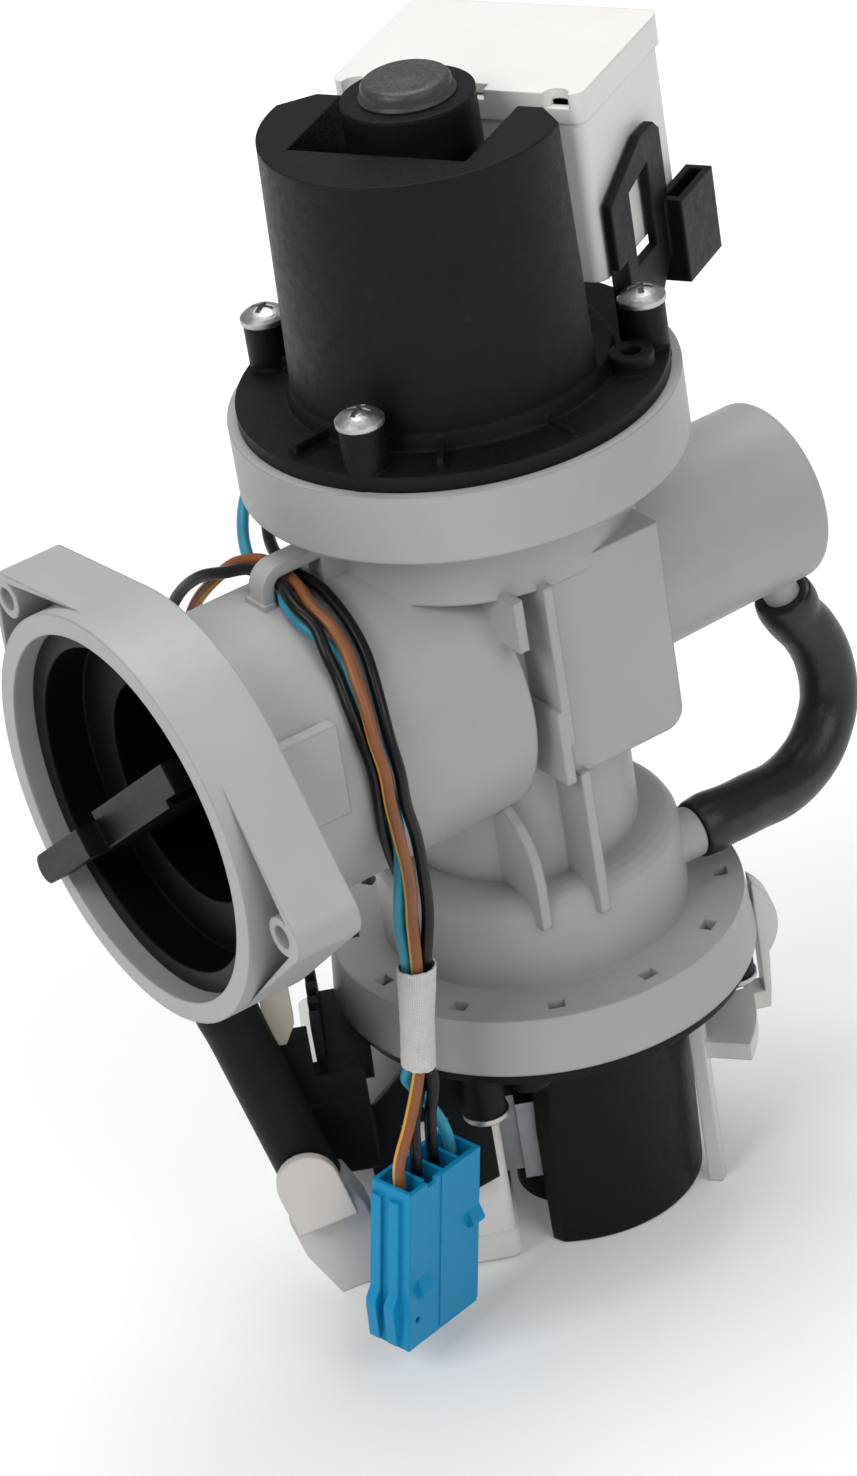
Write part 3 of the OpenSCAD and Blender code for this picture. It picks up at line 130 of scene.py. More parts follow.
# A value's span laid onto another span, held at both ends
def remap(tree, value, span, onto=(0.0, 1.0)):
    ends = {0: value, 1: span[0], 2: span[1], 3: onto[0], 4: onto[1]}
    return addNode(tree, "ShaderNodeMapRange", ends).outputs[0]


def mathNode(tree, how, a, b=0.0, clamp=False):
    return addNode(tree, "ShaderNodeMath", {0: a, 1: b}, operation=how, use_clamp=clamp).outputs[0]


def add(tree, a, b, clamp=False):
    return mathNode(tree, "ADD", a, b, clamp)


def times(tree, a, b, clamp=False):
    return mathNode(tree, "MULTIPLY", a, b, clamp)


def mixColour(tree, share, a, b, how="MIX"):
    node = addNode(tree, "ShaderNodeMix", data_type="RGBA", blend_type=how)
    for socket, value in ((node.inputs[0], share), (node.inputs[6], a), (node.inputs[7], b)):
        if isinstance(value, bpy.types.NodeSocket):
            tree.links.new(value, socket)
        elif socket == node.inputs[0]:
            socket.default_value = value
        else:
            socket.default_value = (*value[:3], 1)
    return node.outputs[2]


def newGroup(name, inputs, outputs):
    group = bpy.data.node_groups.new(name, "ShaderNodeTree")
    for label, kind, value in inputs:
        socket = group.interface.new_socket(label, in_out="INPUT", socket_type=kind)
        if value is not None:
            socket.default_value = value
    for label, kind in outputs:
        group.interface.new_socket(label, in_out="OUTPUT", socket_type=kind)
    return group, group.nodes.new("NodeGroupInput"), group.nodes.new("NodeGroupOutput")


def useGroup(tree, group, **values):
    node = tree.nodes.new("ShaderNodeGroup")
    node.node_tree = group
    for key, value in values.items():
        socket = node.inputs[key]
        socket.default_value = (*value[:3], 1) if socket.type == "RGBA" else value
    return node


# Moulded skin: soft edges, fine grain, flow marks, scratches, rubbed edges and a little dust
skinLook = {
    "usual": {"edgeRadius": 0.0006, "grainSize": 2500.0, "grainDepth": 0.1, "roughness": 0.4,
              "roughVary": 0.1, "mottle": 0.05, "edgeWear": 0.3, "dust": 0.1, "scuff": 0.1},
    "edgeSamples": 4,
    "edgeBend": (0.995, 0.75),
    "cloud": {"Scale": 55.0, "Detail": 5.0, "Roughness": 0.6},
    "patch": {"Scale": 420.0, "Detail": 4.0, "Roughness": 0.65},
    "grain": {"Detail": 2.0, "Roughness": 0.5},
    "varySpan": (0.3, 0.7),
    "scratchStretch": (1.0, 0.06, 0.35),
    "scratchTurn": (0.3, 0.2, 0.7),
    "scratchLines": {"Scale": 900.0, "Detail": 2.0},
    "scratchPeaks": (0.69, 0.78),
    "scratchPlaces": (0.5, 0.68),
    "rubbedPlaces": (0.38, 0.66),
    "dustSpecks": {"Scale": 1500.0, "Detail": 3.0},
    "dustPlaces": (0.45, 0.75),
    "dustFacing": (0.2, 1.0),
    "dustColour": (0.5, 0.48, 0.45),
    "dustRoughness": 0.4,
    "wornGain": 1.6,
    "wornLift": 0.02,
    "patchDepth": 0.8,
    "bumpHeight": 0.0002,
    "ior": 1.48,
    "scatter": (0.001, 0.001, 0.001),
}


def makeSkinGroup(look):
    colours = [(name, "NodeSocketColor", None) for name in ("colour", "wornColour")]
    amounts = [(name, "NodeSocketFloat", value) for name, value in look["usual"].items()]
    made = [("colour", "NodeSocketColor"), ("roughness", "NodeSocketFloat"),
            ("normal", "NodeSocketVector")]
    group, gin, gout = newGroup("mouldedSkin", colours + amounts, made)
    given = gin.outputs
    place = objectPlace(group)
    soft = addNode(group, "ShaderNodeBevel", {"Radius": given["edgeRadius"]},
                   samples=look["edgeSamples"]).outputs[0]
    flat = addNode(group, "ShaderNodeNewGeometry").outputs["Normal"]
    turn = addNode(group, "ShaderNodeVectorMath", {0: soft, 1: flat}, operation="DOT_PRODUCT")
    bend = remap(group, turn.outputs["Value"], look["edgeBend"])

    cloud = noise(group, place, look["cloud"])
    patch = noise(group, place, look["patch"])
    grain = noise(group, place, {"Scale": given["grainSize"], **look["grain"]})

    # thin scratches: a stretched noise, cut to its peaks
    lie = addNode(group, "ShaderNodeMapping", {
        "Vector": place, "Scale": look["scratchStretch"], "Rotation": look["scratchTurn"]})
    scratch = noise(group, lie.outputs[0], look["scratchLines"])
    scratch = remap(group, scratch, look["scratchPeaks"])
    where = remap(group, cloud, look["scratchPlaces"])
    scratch = times(group, times(group, scratch, where), given["scuff"])

    rub = remap(group, patch, look["rubbedPlaces"])
    worn = times(group, times(group, bend, rub), given["edgeWear"], True)
    worn = add(group, worn, scratch, True)

    up = addNode(group, "ShaderNodeSeparateXYZ", {0: flat}).outputs[2]
    lying = remap(group, up, look["dustFacing"])
    settled = remap(group, noise(group, place, look["dustSpecks"]), look["dustPlaces"])
    dusty = times(group, times(group, settled, lying), given["dust"], True)

    bothWays = (-1.0, 1.0)
    tone = times(group, remap(group, cloud, look["varySpan"], bothWays), given["mottle"])
    tone = add(group, tone, 1.0)
    toned = addNode(group, "ShaderNodeVectorMath", {0: given["colour"], 1: tone},
                    operation="MULTIPLY").outputs[0]
    colour = mixColour(group, worn, toned, given["wornColour"])
    colour = mixColour(group, dusty, colour, look["dustColour"])
    group.links.new(colour, gout.inputs["colour"])

    rough = times(group, remap(group, patch, look["varySpan"], bothWays), given["roughVary"])
    rough = add(group, rough, given["roughness"])
    rough = add(group, rough, times(group, dusty, look["dustRoughness"]), True)
    group.links.new(rough, gout.inputs["roughness"])

    height = add(group, grain, times(group, patch, look["patchDepth"]))
    bump = addNode(group, "ShaderNodeBump", {
        "Strength": given["grainDepth"], "Distance": look["bumpHeight"], "Height": height,
        "Normal": soft})
    group.links.new(bump.outputs[0], gout.inputs["normal"])
    return group


skinGroup = makeSkinGroup(skinLook)


def mouldedMaterial(name, cfg):
    mat, tree, shader = newMaterial(name)
    known = {"colour", "wornColour", *skinLook["usual"]}
    skin = useGroup(tree, skinGroup, **{key: cfg[key] for key in cfg if key in known})
    into = {"colour": "Base Color", "roughness": "Roughness", "normal": "Normal"}
    for made, socket in into.items():
        tree.links.new(skin.outputs[made], shader.inputs[socket])
    shader.inputs["IOR"].default_value = skinLook["ior"]
    shader.inputs["Metallic"].default_value = cfg.get("metal", 0.0)
    shader.inputs["Specular IOR Level"].default_value = cfg.get("shine", 0.5)
    shader.inputs["Subsurface Weight"].default_value = cfg.get("depth", 0.0)
    shader.inputs["Subsurface Radius"].default_value = skinLook["scatter"]
    return mat


# A finish whose worn edges are paler than the rest, unless it names their colour
def finish(name, **cfg):
    paler = tuple(min(1.0, c * skinLook["wornGain"] + skinLook["wornLift"]) for c in cfg["colour"])
    return mouldedMaterial(name, {"wornColour": paler, **cfg})


finishes = {
    "casing_grey": finish(
        "casingGrey", colour=(0.4, 0.402, 0.392), wornColour=(0.54, 0.545, 0.535),
        roughness=0.44, roughVary=0.06, mottle=0.03, grainSize=1600.0, grainDepth=0.12,
        edgeRadius=0.0008, edgeWear=0.3, dust=0.03, scuff=0.25),
    "bracket_black": finish(
        "bracketBlack", colour=(0.0055, 0.0056, 0.006), wornColour=(0.04, 0.04, 0.043),
        roughness=0.46, roughVary=0.07, mottle=0.15, grainSize=3200.0, grainDepth=0.45,
        edgeRadius=0.001, edgeWear=0.6, dust=0.01, scuff=0.35, shine=0.16),
    "cap_black": finish(
        "capBlack", colour=(0.004, 0.004, 0.0045), wornColour=(0.025, 0.025, 0.027),
        roughness=0.42, roughVary=0.05, mottle=0.05, grainSize=2400.0, grainDepth=0.06,
        edgeRadius=0.0009, edgeWear=0.35, dust=0.0, scuff=0.3, shine=0.15),
    "basket_grey": finish(
        "basketGrey", colour=(0.16, 0.16, 0.165), roughness=0.45, edgeRadius=0.0004),
    "housing_white": finish(
        "housingWhite", colour=(0.82, 0.8, 0.775), wornColour=(0.88, 0.87, 0.85),
        roughness=0.4, roughVary=0.05, mottle=0.02, grainSize=1800.0, grainDepth=0.12,
        edgeRadius=0.0006, edgeWear=0.3, dust=0.02, scuff=0.2, depth=0.05),
    "bracket_offwhite": finish(
        "bracketOffWhite", colour=(0.7, 0.68, 0.655), wornColour=(0.78, 0.76, 0.73),
        roughness=0.42, mottle=0.03, grainDepth=0.12, edgeRadius=0.0008, edgeWear=0.2, dust=0.03),
    "stator_iron": finish(
        "statorIron", colour=(0.3, 0.3, 0.32), metal=1.0, roughness=0.42, edgeRadius=0.0003),
    "coil_copper": finish(
        "coilCopper", colour=(0.62, 0.24, 0.1), metal=1.0, roughness=0.38, edgeRadius=0.0008),
    "magnet_grey": finish(
        "magnetGrey", colour=(0.06, 0.06, 0.065), roughness=0.6, edgeRadius=0.0004),
    "shaft_steel": finish(
        "shaftSteel", colour=(0.6, 0.6, 0.62), metal=1.0, roughness=0.25, edgeRadius=0.0002),
    "bush_bronze": finish(
        "bushBronze", colour=(0.5, 0.32, 0.16), metal=1.0, roughness=0.4, edgeRadius=0.0002),
    "impeller_black": finish(
        "impellerBlack", colour=(0.02, 0.02, 0.022), roughness=0.4, edgeRadius=0.0004),
    "seal_rubber": finish(
        "sealRubber", colour=(0.012, 0.012, 0.012), roughness=0.6, edgeRadius=0.0005),
    "hose_rubber": finish(
        "hoseRubber", colour=(0.011, 0.0115, 0.012), wornColour=(0.045, 0.045, 0.045),
        roughness=0.36, roughVary=0.07, mottle=0.2, grainSize=1400.0, grainDepth=0.3,
        edgeRadius=0.0005, edgeWear=0.3, dust=0.02, scuff=0.3, shine=0.42),
    # painted shade: a darker, less shiny copy of the hose rubber for the drain hose, which lies in
    # shade
    "drain_rubber": finish(
        "shadedDrainRubber", colour=(0.0055, 0.0056, 0.006), wornColour=(0.03, 0.03, 0.03),
        roughness=0.5, roughVary=0.07, mottle=0.2, grainSize=1400.0, grainDepth=0.3,
        edgeRadius=0.0005, edgeWear=0.3, dust=0.0, scuff=0.3, shine=0.14),
    "nose_rubber": finish(
        "noseRubber", colour=(0.045, 0.041, 0.039), wornColour=(0.07, 0.068, 0.066),
        roughness=0.42, roughVary=0.08, mottle=0.25, grainSize=1400.0, grainDepth=0.3,
        edgeRadius=0.0003, edgeWear=0.4, dust=0.1, scuff=0.4),
    "screw_steel": finish(
        "screwSteel", colour=(0.5, 0.495, 0.49), wornColour=(0.66, 0.66, 0.66), metal=1.0,
        roughness=0.4, roughVary=0.1, mottle=0.15, grainSize=1800.0, grainDepth=0.25,
        edgeRadius=0.0004, edgeWear=0.5, dust=0.0, scuff=0.5),
    "plug_beige": finish(
        "plugBeige", colour=(0.63, 0.59, 0.56), wornColour=(0.76, 0.72, 0.69),
        roughness=0.45, mottle=0.03, grainDepth=0.15, edgeRadius=0.0008, edgeWear=0.25, dust=0.03),
    "terminal_beige": finish(
        "terminalBeige", colour=(0.62, 0.58, 0.48), roughness=0.42, edgeRadius=0.0005),
    "connector_blue": finish(
        "connectorBlue", colour=(0.002, 0.27, 0.53), wornColour=(0.03, 0.45, 0.76),
        roughness=0.36, roughVary=0.06, mottle=0.05, grainSize=1500.0, grainDepth=0.12,
        edgeRadius=0.0005, edgeWear=0.45, dust=0.0, scuff=0.15, shine=0.25),
}
print("finishes made:", len(finishes))


# Every CAD node takes the finish of its slot
slotOf = {s["node"]: s["material_slot"] for s in frame["record"]["subparts"]}
for name, obj in nodes.items():
    if slotOf[name] in finishes:
        obj.data.materials.clear()
        obj.data.materials.append(finishes[slotOf[name]])


# Routes of the wires, the tape and the hoses in millimetres, as in the part's source
mm = 0.001
seamGap = 0.0000001  # vertices closer than this are one
routes = {
    "wire_blue": [
        (-46.6, 21.6, 198.7), (-46.8, 21.2, 193), (-49.4, 15.6, 184), (-49.6, 3.6, 174),
        (-47.4, -8.4, 165.6), (-41.6, -18.4, 160.6), (-32.6, -30.2, 158.2), (-22, -38, 155.6),
        (-14, -41.5, 154.4), (-8, -43.8, 156.1), (0, -44.1, 156.7), (6.3, -46.8, 156.3),
        (11.3, -47.3, 154.8), (16.7, -45.9, 152.1), (21, -45.3, 148.8), (24.4, -45.9, 145.3),
        (28.3, -46.4, 139.3), (30.8, -46.5, 132.8), (31.5, -46.4, 125.5), (32.6, -46.7, 118.5),
        (33, -47.7, 112), (32.6, -48.7, 106), (31.5, -49.1, 100), (31.6, -49.3, 89),
        (30.1, -51.7, 66.5), (28.4, -51.9, 63), (27.3, -50.4, 60), (27.2, -47.8, 55),
        (27.6, -45, 47), (27.4, -44.4, 40.9)],
    "wire_black_upper": [
        (-46.6, 25, 198.7), (-46.6, 24.6, 193), (-47.4, 18, 184), (-47.6, 6, 174),
        (-45.4, -6, 165.6), (-39.6, -16, 160.6), (-30.6, -26.5, 159.4), (-20, -33.5, 158.6),
        (-14, -36.8, 158.3), (-8, -39, 158.1), (0, -39.5, 157.6), (6, -39.2, 157),
        (11.8, -39.4, 155.1), (17.1, -39.9, 152.4), (21.7, -40.8, 148.9), (24.5, -41.8, 146),
        (27.8, -43.1, 141.7), (30.8, -44.2, 136.3), (32.9, -44.5, 130.2), (33.8, -44.9, 124),
        (34, -44.1, 117.5), (34, -43.9, 108), (33.9, -44.2, 100), (33.4, -46.3, 89),
        (31.9, -48.7, 66.5), (32.4, -48.4, 63), (32.2, -48.8, 60), (30.7, -49.2, 55),
        (29.3, -49.4, 47), (29, -49.6, 41.4)],
    "wire_brown": [
        (0.9, -60.4, 80.1), (0.9, -60.4, 83.5), (-1.5, -59, 87.5), (-8, -56.4, 90),
        (-22, -52, 96), (-31, -49, 108), (-34, -48, 124), (-31, -47.5, 140), (-20.5, -46, 152),
        (-14, -44.6, 157.2), (-8, -42.4, 159), (0, -42.1, 158.5), (5, -43, 158.4),
        (11, -44.6, 157.4), (17, -44.2, 154.6), (22, -44.9, 151.1), (25, -45.9, 148.2),
        (28.5, -46.8, 143.7), (31.4, -47.8, 138.2), (33.6, -48, 132), (34.2, -48.3, 125.4),
        (35.1, -48.2, 118.5), (35.6, -48, 112), (35.3, -48, 106), (34.5, -48.2, 100),
        (34, -48.7, 89), (32.5, -51.1, 66.5), (32.8, -55.6, 56), (32.5, -59.2, 48),
        (32.2, -59.8, 42.5)],
    "wire_black_lower": [
        (-0.5, -62.8, 80.1), (-0.5, -62.8, 83.5), (-2.8, -62.2, 87.5), (-8, -60, 90),
        (-22, -56, 93), (-33, -52.5, 107), (-36.6, -51.5, 124), (-33.6, -50.5, 141),
        (-21.4, -48.8, 153.2), (-14, -47.4, 156.3), (-8, -45.8, 158.6), (0, -45.3, 159),
        (4, -45.5, 158.9), (6.5, -46.5, 158.9), (10.4, -47.3, 158), (15.5, -46.9, 155.7),
        (19.5, -47.8, 151.9), (22.2, -47.8, 147.8), (25.8, -48.6, 143.4), (29.1, -49, 137.8),
        (31.2, -49, 131.5), (31.5, -49.1, 125), (30.7, -48.7, 118.5), (30.2, -47.7, 112),
        (30.6, -46.7, 106), (31.3, -46.3, 100), (31, -46.9, 89), (29.5, -49.3, 66.5),
        (30, -49.4, 63), (30.5, -51, 60), (30.4, -52.8, 55), (30.9, -54.2, 47),
        (30.6, -54.7, 41.9)],
}
sleeveRoute = [(32.5, -47.8, 88.8), (31, -50.2, 66.7)]
bypassRoute = [
    (15, 29.4, 74.2), (15, 34.6, 74.2), (14.9, 39.5, 73.8), (13.8, 45.5, 72.9),
    (12.8, 51.5, 71.9), (11, 58.8, 72.2), (9.6, 64.3, 74.2), (8, 68.6, 77.4), (6.8, 71.5, 81.6),
    (5.8, 72.6, 86.6), (5, 72.2, 92.4), (4.4, 70.2, 98), (4, 67.2, 103), (4, 66.2, 105.8),
    (4, 65.3, 108.3)]
drain = {"from": (0, -74, 82.3), "along": (0.18587, 0.18395, -0.9652), "length": 47.8}
drainEnd = [a + drain["length"] * b for a, b in zip(drain["from"], drain["along"])]
drainRoute = [drain["from"], drainEnd]


def link(obj):
    bpy.context.scene.collection.objects.link(obj)
    return obj


def finishedObject(name, bm):
    mesh = bpy.data.meshes.new(name)
    bm.to_mesh(mesh)
    bm.free()
    return link(bpy.data.objects.new(name, mesh))


# Seams merged, the rest of the surface smooth, open ends filled flat, normals outward
def closedObject(name, bm):
    bmesh.ops.remove_doubles(bm, verts=bm.verts, dist=seamGap)
    for face in bm.faces:
        face.smooth = True
    rims = [edge for edge in bm.edges if edge.is_boundary]
    if rims:
        for face in bmesh.ops.edgeloop_fill(bm, edges=rims)["faces"]:
            face.smooth = False
    bmesh.ops.recalc_face_normals(bm, faces=bm.faces)
    return finishedObject(name, bm)


def inMetres(points):
    return [Vector(p) * mm for p in points]


def lengthOf(points):
    return sum((a - b).length for a, b in zip(points, points[1:]))


# A smooth line through the points, densely stepped
def smoothLine(points, perSpan=12):
    gaps = [(b - a).length for a, b in zip(points, points[1:])]
    slopes = [(points[1] - points[0]) / gaps[0]]
    for i in range(1, len(points) - 1):
        before = (points[i] - points[i - 1]) / gaps[i - 1]
        after = (points[i + 1] - points[i]) / gaps[i]
        slopes.append((before * gaps[i] + after * gaps[i - 1]) / (gaps[i] + gaps[i - 1]))
    slopes.append((points[-1] - points[-2]) / gaps[-1])
    line = []
    for i, gap in enumerate(gaps):
        for k in range(perSpan):
            t = k / perSpan
            from0 = points[i] * (2 * t ** 3 - 3 * t ** 2 + 1)
            from1 = points[i + 1] * (3 * t ** 2 - 2 * t ** 3)
            pull0 = slopes[i] * gap * (t ** 3 - 2 * t ** 2 + t)
            pull1 = slopes[i + 1] * gap * (t ** 3 - t ** 2)
            line.append(from0 + from1 + pull0 + pull1)
    line.append(points[-1])
    return line


# Points and directions at the given distances along a line
def stepsAlong(line, distances):
    made, i, gone = [], 0, 0.0
    for d in distances:
        while i < len(line) - 2 and gone + (line[i + 1] - line[i]).length < d:
            gone += (line[i + 1] - line[i]).length
            i += 1
        ahead = (line[i + 1] - line[i]).normalized()
        made.append((line[i] + ahead * (d - gone), ahead))
    return made


# Distances from one end to the other, closer together near both ends
def endedSteps(length, gap, close=(0.0, 0.00008, 0.0002, 0.0004, 0.0007)):
    count = max(2, round((length - 2 * close[-1]) / gap))
    middle = [close[-1] + (length - 2 * close[-1]) * i / count for i in range(1, count)]
    return list(close) + middle + [length - d for d in reversed(close)]


# A tube along a line: a flat grid wrapped round it, with metres along and a share round as its
# UV map. It is solid with flat ends, or it turns back through its bore if it has one.
def tubePiece(name, line, steps, outer, facing, sides=16, bore=None, shift=None, twist=None):
    rings = [(d, place, ahead, outer) for d, (place, ahead) in zip(steps, stepsAlong(line, steps))]
    if bore:
        rings += [(*ring[:3], bore) for ring in reversed(rings)] + rings[:1]
    bm = bmesh.new()
    uvLayer = bm.loops.layers.uv.new("around")
    rows, half = len(rings) - 1, 0.5
    sheet = bmesh.ops.create_grid(bm, x_segments=sides, y_segments=rows, size=half)
    for vert in sheet["verts"]:
        share = round((vert.co.x + half) * sides) / sides
        d, place, ahead, radius = rings[round((vert.co.y + half) * rows)]
        for loop in vert.link_loops:
            loop[uvLayer].uv = (d, share)
        side = (Vector(facing) - ahead * ahead.dot(Vector(facing))).normalized()
        across = ahead.cross(side)
        turn = 2 * math.pi * (share - half)
        angle = turn + (twist(d / steps[-1]) if twist else 0)
        out = side * math.cos(angle) + across * math.sin(angle)
        vert.co = place + out * radius(d, turn) + ahead * (shift(d, turn) if shift else 0)
    return closedObject(name, bm)


def dress(piece, material, body, slotName, *replaced):
    piece.data.materials.clear()
    piece.data.materials.append(material)
    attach(piece, body)
    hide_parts(*replaced)
    return piece


# Wires: glossy plastic skins, and one with a stripe that follows the wire's own UV map
wire = {
    "radius": 0.0012, "step": 0.0008, "sides": 16, "perSpan": 10,
    "facing": (-0.2, -0.96, 0.19),
    "cloud": {"Scale": 160.0, "Detail": 4.0, "Roughness": 0.6},
    "fine": {"Scale": 700.0, "Detail": 3.0},
    "varySpan": (0.3, 0.7),
    "tone": (0.86, 1.1),
    "roughness": (0.27, 0.42),
    "stripeEdge": (0.085, 0.065),
    "bump": 0.12,
    "bumpHeight": 0.0002,
    "shine": 0.3,
}
wireSkins = {
    "wire_blue": {"name": "wireBlue", "slot": "wire_blue_skin", "colour": (0.035, 0.28, 0.4)},
    "wire_black_upper": {"name": "wireBlackUpper", "slot": "wire_black_skin",
                         "colour": (0.0035, 0.0035, 0.004)},
    "wire_brown": {"name": "wireBrown", "slot": "wire_brown_skin", "colour": (0.25, 0.092, 0.036),
                   "stripe": (0.78, 0.4, 0.05)},
    "wire_black_lower": {"name": "wireBlackLower", "slot": "wire_black_skin",
                         "colour": (0.0035, 0.0035, 0.004)},
}
stripeTurn = {"from": 0.5, "to": 0.66, "away": 1.4}


def wireMaterial(cfg, skin):
    mat, tree, shader = newMaterial(skin["name"])
    place = objectPlace(tree)
    tone = remap(tree, noise(tree, place, cfg["cloud"]), cfg["varySpan"], cfg["tone"])
    grey = addNode(tree, "ShaderNodeCombineXYZ", {0: tone, 1: tone, 2: tone}).outputs[0]
    base = mixColour(tree, 1.0, skin["colour"], grey, "MULTIPLY")
    if "stripe" in skin:
        off = mathNode(tree, "ABSOLUTE", mathNode(tree, "SUBTRACT", aroundMap(tree)[1], 0.5))
        base = mixColour(tree, remap(tree, off, cfg["stripeEdge"]), base, skin["stripe"])
    fine = noise(tree, place, cfg["fine"])
    rough = remap(tree, fine, cfg["varySpan"], cfg["roughness"])
    bump = addNode(tree, "ShaderNodeBump", {
        "Strength": cfg["bump"], "Distance": cfg["bumpHeight"], "Height": fine})
    tree.links.new(base, shader.inputs["Base Color"])
    tree.links.new(rough, shader.inputs["Roughness"])
    tree.links.new(bump.outputs[0], shader.inputs["Normal"])
    shader.inputs["Specular IOR Level"].default_value = cfg["shine"]
    return mat


# The striped wire turns: its stripe is behind at the hook and comes to the front lower down
def stripeTwist(share):
    eased = min(1, max(0, (share - stripeTurn["from"]) / (stripeTurn["to"] - stripeTurn["from"])))
    return stripeTurn["away"] * (1 - eased * eased * (3 - 2 * eased))


def wirePiece(name, cfg, striped):
    line = smoothLine(inMetres(routes[name]), cfg["perSpan"])
    total = lengthOf(line)
    count = round(total / cfg["step"])
    steps = [total * i / count for i in range(count + 1)]
    return tubePiece(name + "Skin", line, steps, lambda d, turn: cfg["radius"], cfg["facing"],
                     sides=cfg["sides"], twist=stripeTwist if striped else None)


for name, skin in wireSkins.items():
    tube = wirePiece(name, wire, "stripe" in skin)
    dress(tube, wireMaterial(wire, skin), "pump", skin["slot"], name)


# Woven tape: ribs along it with fine cross threads, from the sleeve's own UV map
tape = {
    "topRadius": 0.00378, "bottomRadius": 0.00335, "narrowing": 1.6,
    "skin": 0.00035, "step": 0.0006, "endSteps": (0.0, 0.00012, 0.0003), "sides": 64,
    "dent": 0.00022, "dentAt": 0.5, "dentWidth": 0.2, "dentTurn": -1.9,
    "ripple": 0.00004, "rippleRound": 5, "rippleLean": 40, "rippleAlong": 9,
    "frayUp": 0.0005, "frayDown": 0.6, "frayTurn": 0.6,
    "ragged": 0.00012, "raggedTeeth": (11, 4), "raggedTurn": 2,
}
weave = {
    "ribs": 52.0, "ribWobble": 0.9, "ribShare": 0.6,
    "rowGap": 0.00062, "rowLean": 1.3, "rowWobble": 7.0, "rowShare": 0.4,
    "wobble": {"Scale": 600.0, "Detail": 3.0},
    "fuzz": {"Scale": 5200.0, "Detail": 3.0, "Roughness": 0.7}, "fuzzDepth": 1.2,
    "bump": 0.75, "bumpHeight": 0.00022,
    "shadedHollowColour": (0.68, 0.66, 0.64), "threadColour": (0.88, 0.865, 0.85),
    "soil": {"Scale": 240.0, "Detail": 4.0}, "soilPlaces": (0.5, 0.75), "soilDepth": (0.0, 0.3),
    "soilColour": (0.55, 0.51, 0.47),
    "roughness": 0.86, "sheen": 0.35,
}


def tapeMaterial(cfg):
    mat, tree, shader = newMaterial("wovenTape")
    around = aroundMap(tree)
    place = objectPlace(tree)
    wobble = noise(tree, place, cfg["wobble"])
    ribs = add(tree, times(tree, around[1], cfg["ribs"]), times(tree, wobble, cfg["ribWobble"]))
    ribs = mathNode(tree, "SINE", times(tree, ribs, 2 * math.pi))
    row = times(tree, around[0], 2 * math.pi / cfg["rowGap"])
    row = add(tree, row, times(tree, ribs, cfg["rowLean"]))
    rows = mathNode(tree, "SINE", add(tree, row, times(tree, wobble, cfg["rowWobble"])))
    woven = add(tree, times(tree, ribs, cfg["ribShare"]), times(tree, rows, cfg["rowShare"]))
    fuzz = times(tree, noise(tree, place, cfg["fuzz"]), cfg["fuzzDepth"])
    bump = addNode(tree, "ShaderNodeBump", {
        "Strength": cfg["bump"], "Distance": cfg["bumpHeight"], "Height": add(tree, woven, fuzz)})
    # painted shade: the hollows of the weave are coloured darker than the raised threads
    low = remap(tree, woven, (-1.0, 1.0))
    soft = mixColour(tree, low, cfg["shadedHollowColour"], cfg["threadColour"])
    soiled = remap(tree, noise(tree, place, cfg["soil"]), cfg["soilPlaces"], cfg["soilDepth"])
    base = mixColour(tree, soiled, soft, cfg["soilColour"])
    tree.links.new(base, shader.inputs["Base Color"])
    tree.links.new(bump.outputs[0], shader.inputs["Normal"])
    shader.inputs["Roughness"].default_value = cfg["roughness"]
    shader.inputs["Sheen Weight"].default_value = cfg["sheen"]
    return mat


def tapePiece(cfg):
    line = smoothLine(inMetres(sleeveRoute), 2)
    length = lengthOf(line)

    # narrower downwards, with a thumb's dent and a slight ripple
    def outer(d, turn):
        share = d / length
        down = min(1, share * cfg["narrowing"])
        r = cfg["topRadius"] + (cfg["bottomRadius"] - cfg["topRadius"]) * down
        near = math.exp(-((share - cfg["dentAt"]) / cfg["dentWidth"]) ** 2)
        r -= cfg["dent"] * near * max(0, math.cos(turn - cfg["dentTurn"]))
        wave = math.sin(cfg["rippleRound"] * turn + cfg["rippleLean"] * share)
        return r + cfg["ripple"] * wave * math.sin(cfg["rippleAlong"] * share)

    # ends cut a little askew and ragged
    def shift(d, turn):
        up, down = 1 - d / length, d / length
        lean = cfg["frayUp"] * (math.sin(turn + cfg["frayTurn"]) * up
                                - cfg["frayDown"] * math.cos(turn) * down)
        big, small = cfg["raggedTeeth"]
        ragged = math.sin(big * turn + cfg["raggedTurn"]) * math.cos(small * turn)
        return (lean + cfg["ragged"] * ragged) * abs(up - down)

    return tubePiece("tapeSleeve", line, endedSteps(length, cfg["step"], cfg["endSteps"]), outer,
                     wire["facing"], sides=cfg["sides"], shift=shift,
                     bore=lambda d, turn: outer(d, turn) - cfg["skin"])


sleeve = dress(tapePiece(tape), tapeMaterial(weave), "pump", "sleeve_white", "tape_sleeve")
print("tape made")

# Hoses: rounded rims, and a slight swelling (place, width, rise) over each nozzle
hose = {"radius": 0.0059, "bore": 0.0039, "rim": 0.0007, "step": 0.0011, "sides": 48,
        "facing": (1, 0, 0)}
hoseRuns = {
    "bypassHose": {"node": "bypass_hose", "finish": "hose_rubber",
                   "line": smoothLine(inMetres(bypassRoute)),
                   "swellings": ((0.004, 0.0025, 0.00035), (-0.003, 0.0025, 0.00045))},
    # the drain hose takes the darker rubber copy, painted shade
    "drainHose": {"node": "drain_hose", "finish": "drain_rubber",
                  "line": inMetres(drainRoute),
                  "swellings": ((0.0055, 0.0035, 0.0003),)},
}


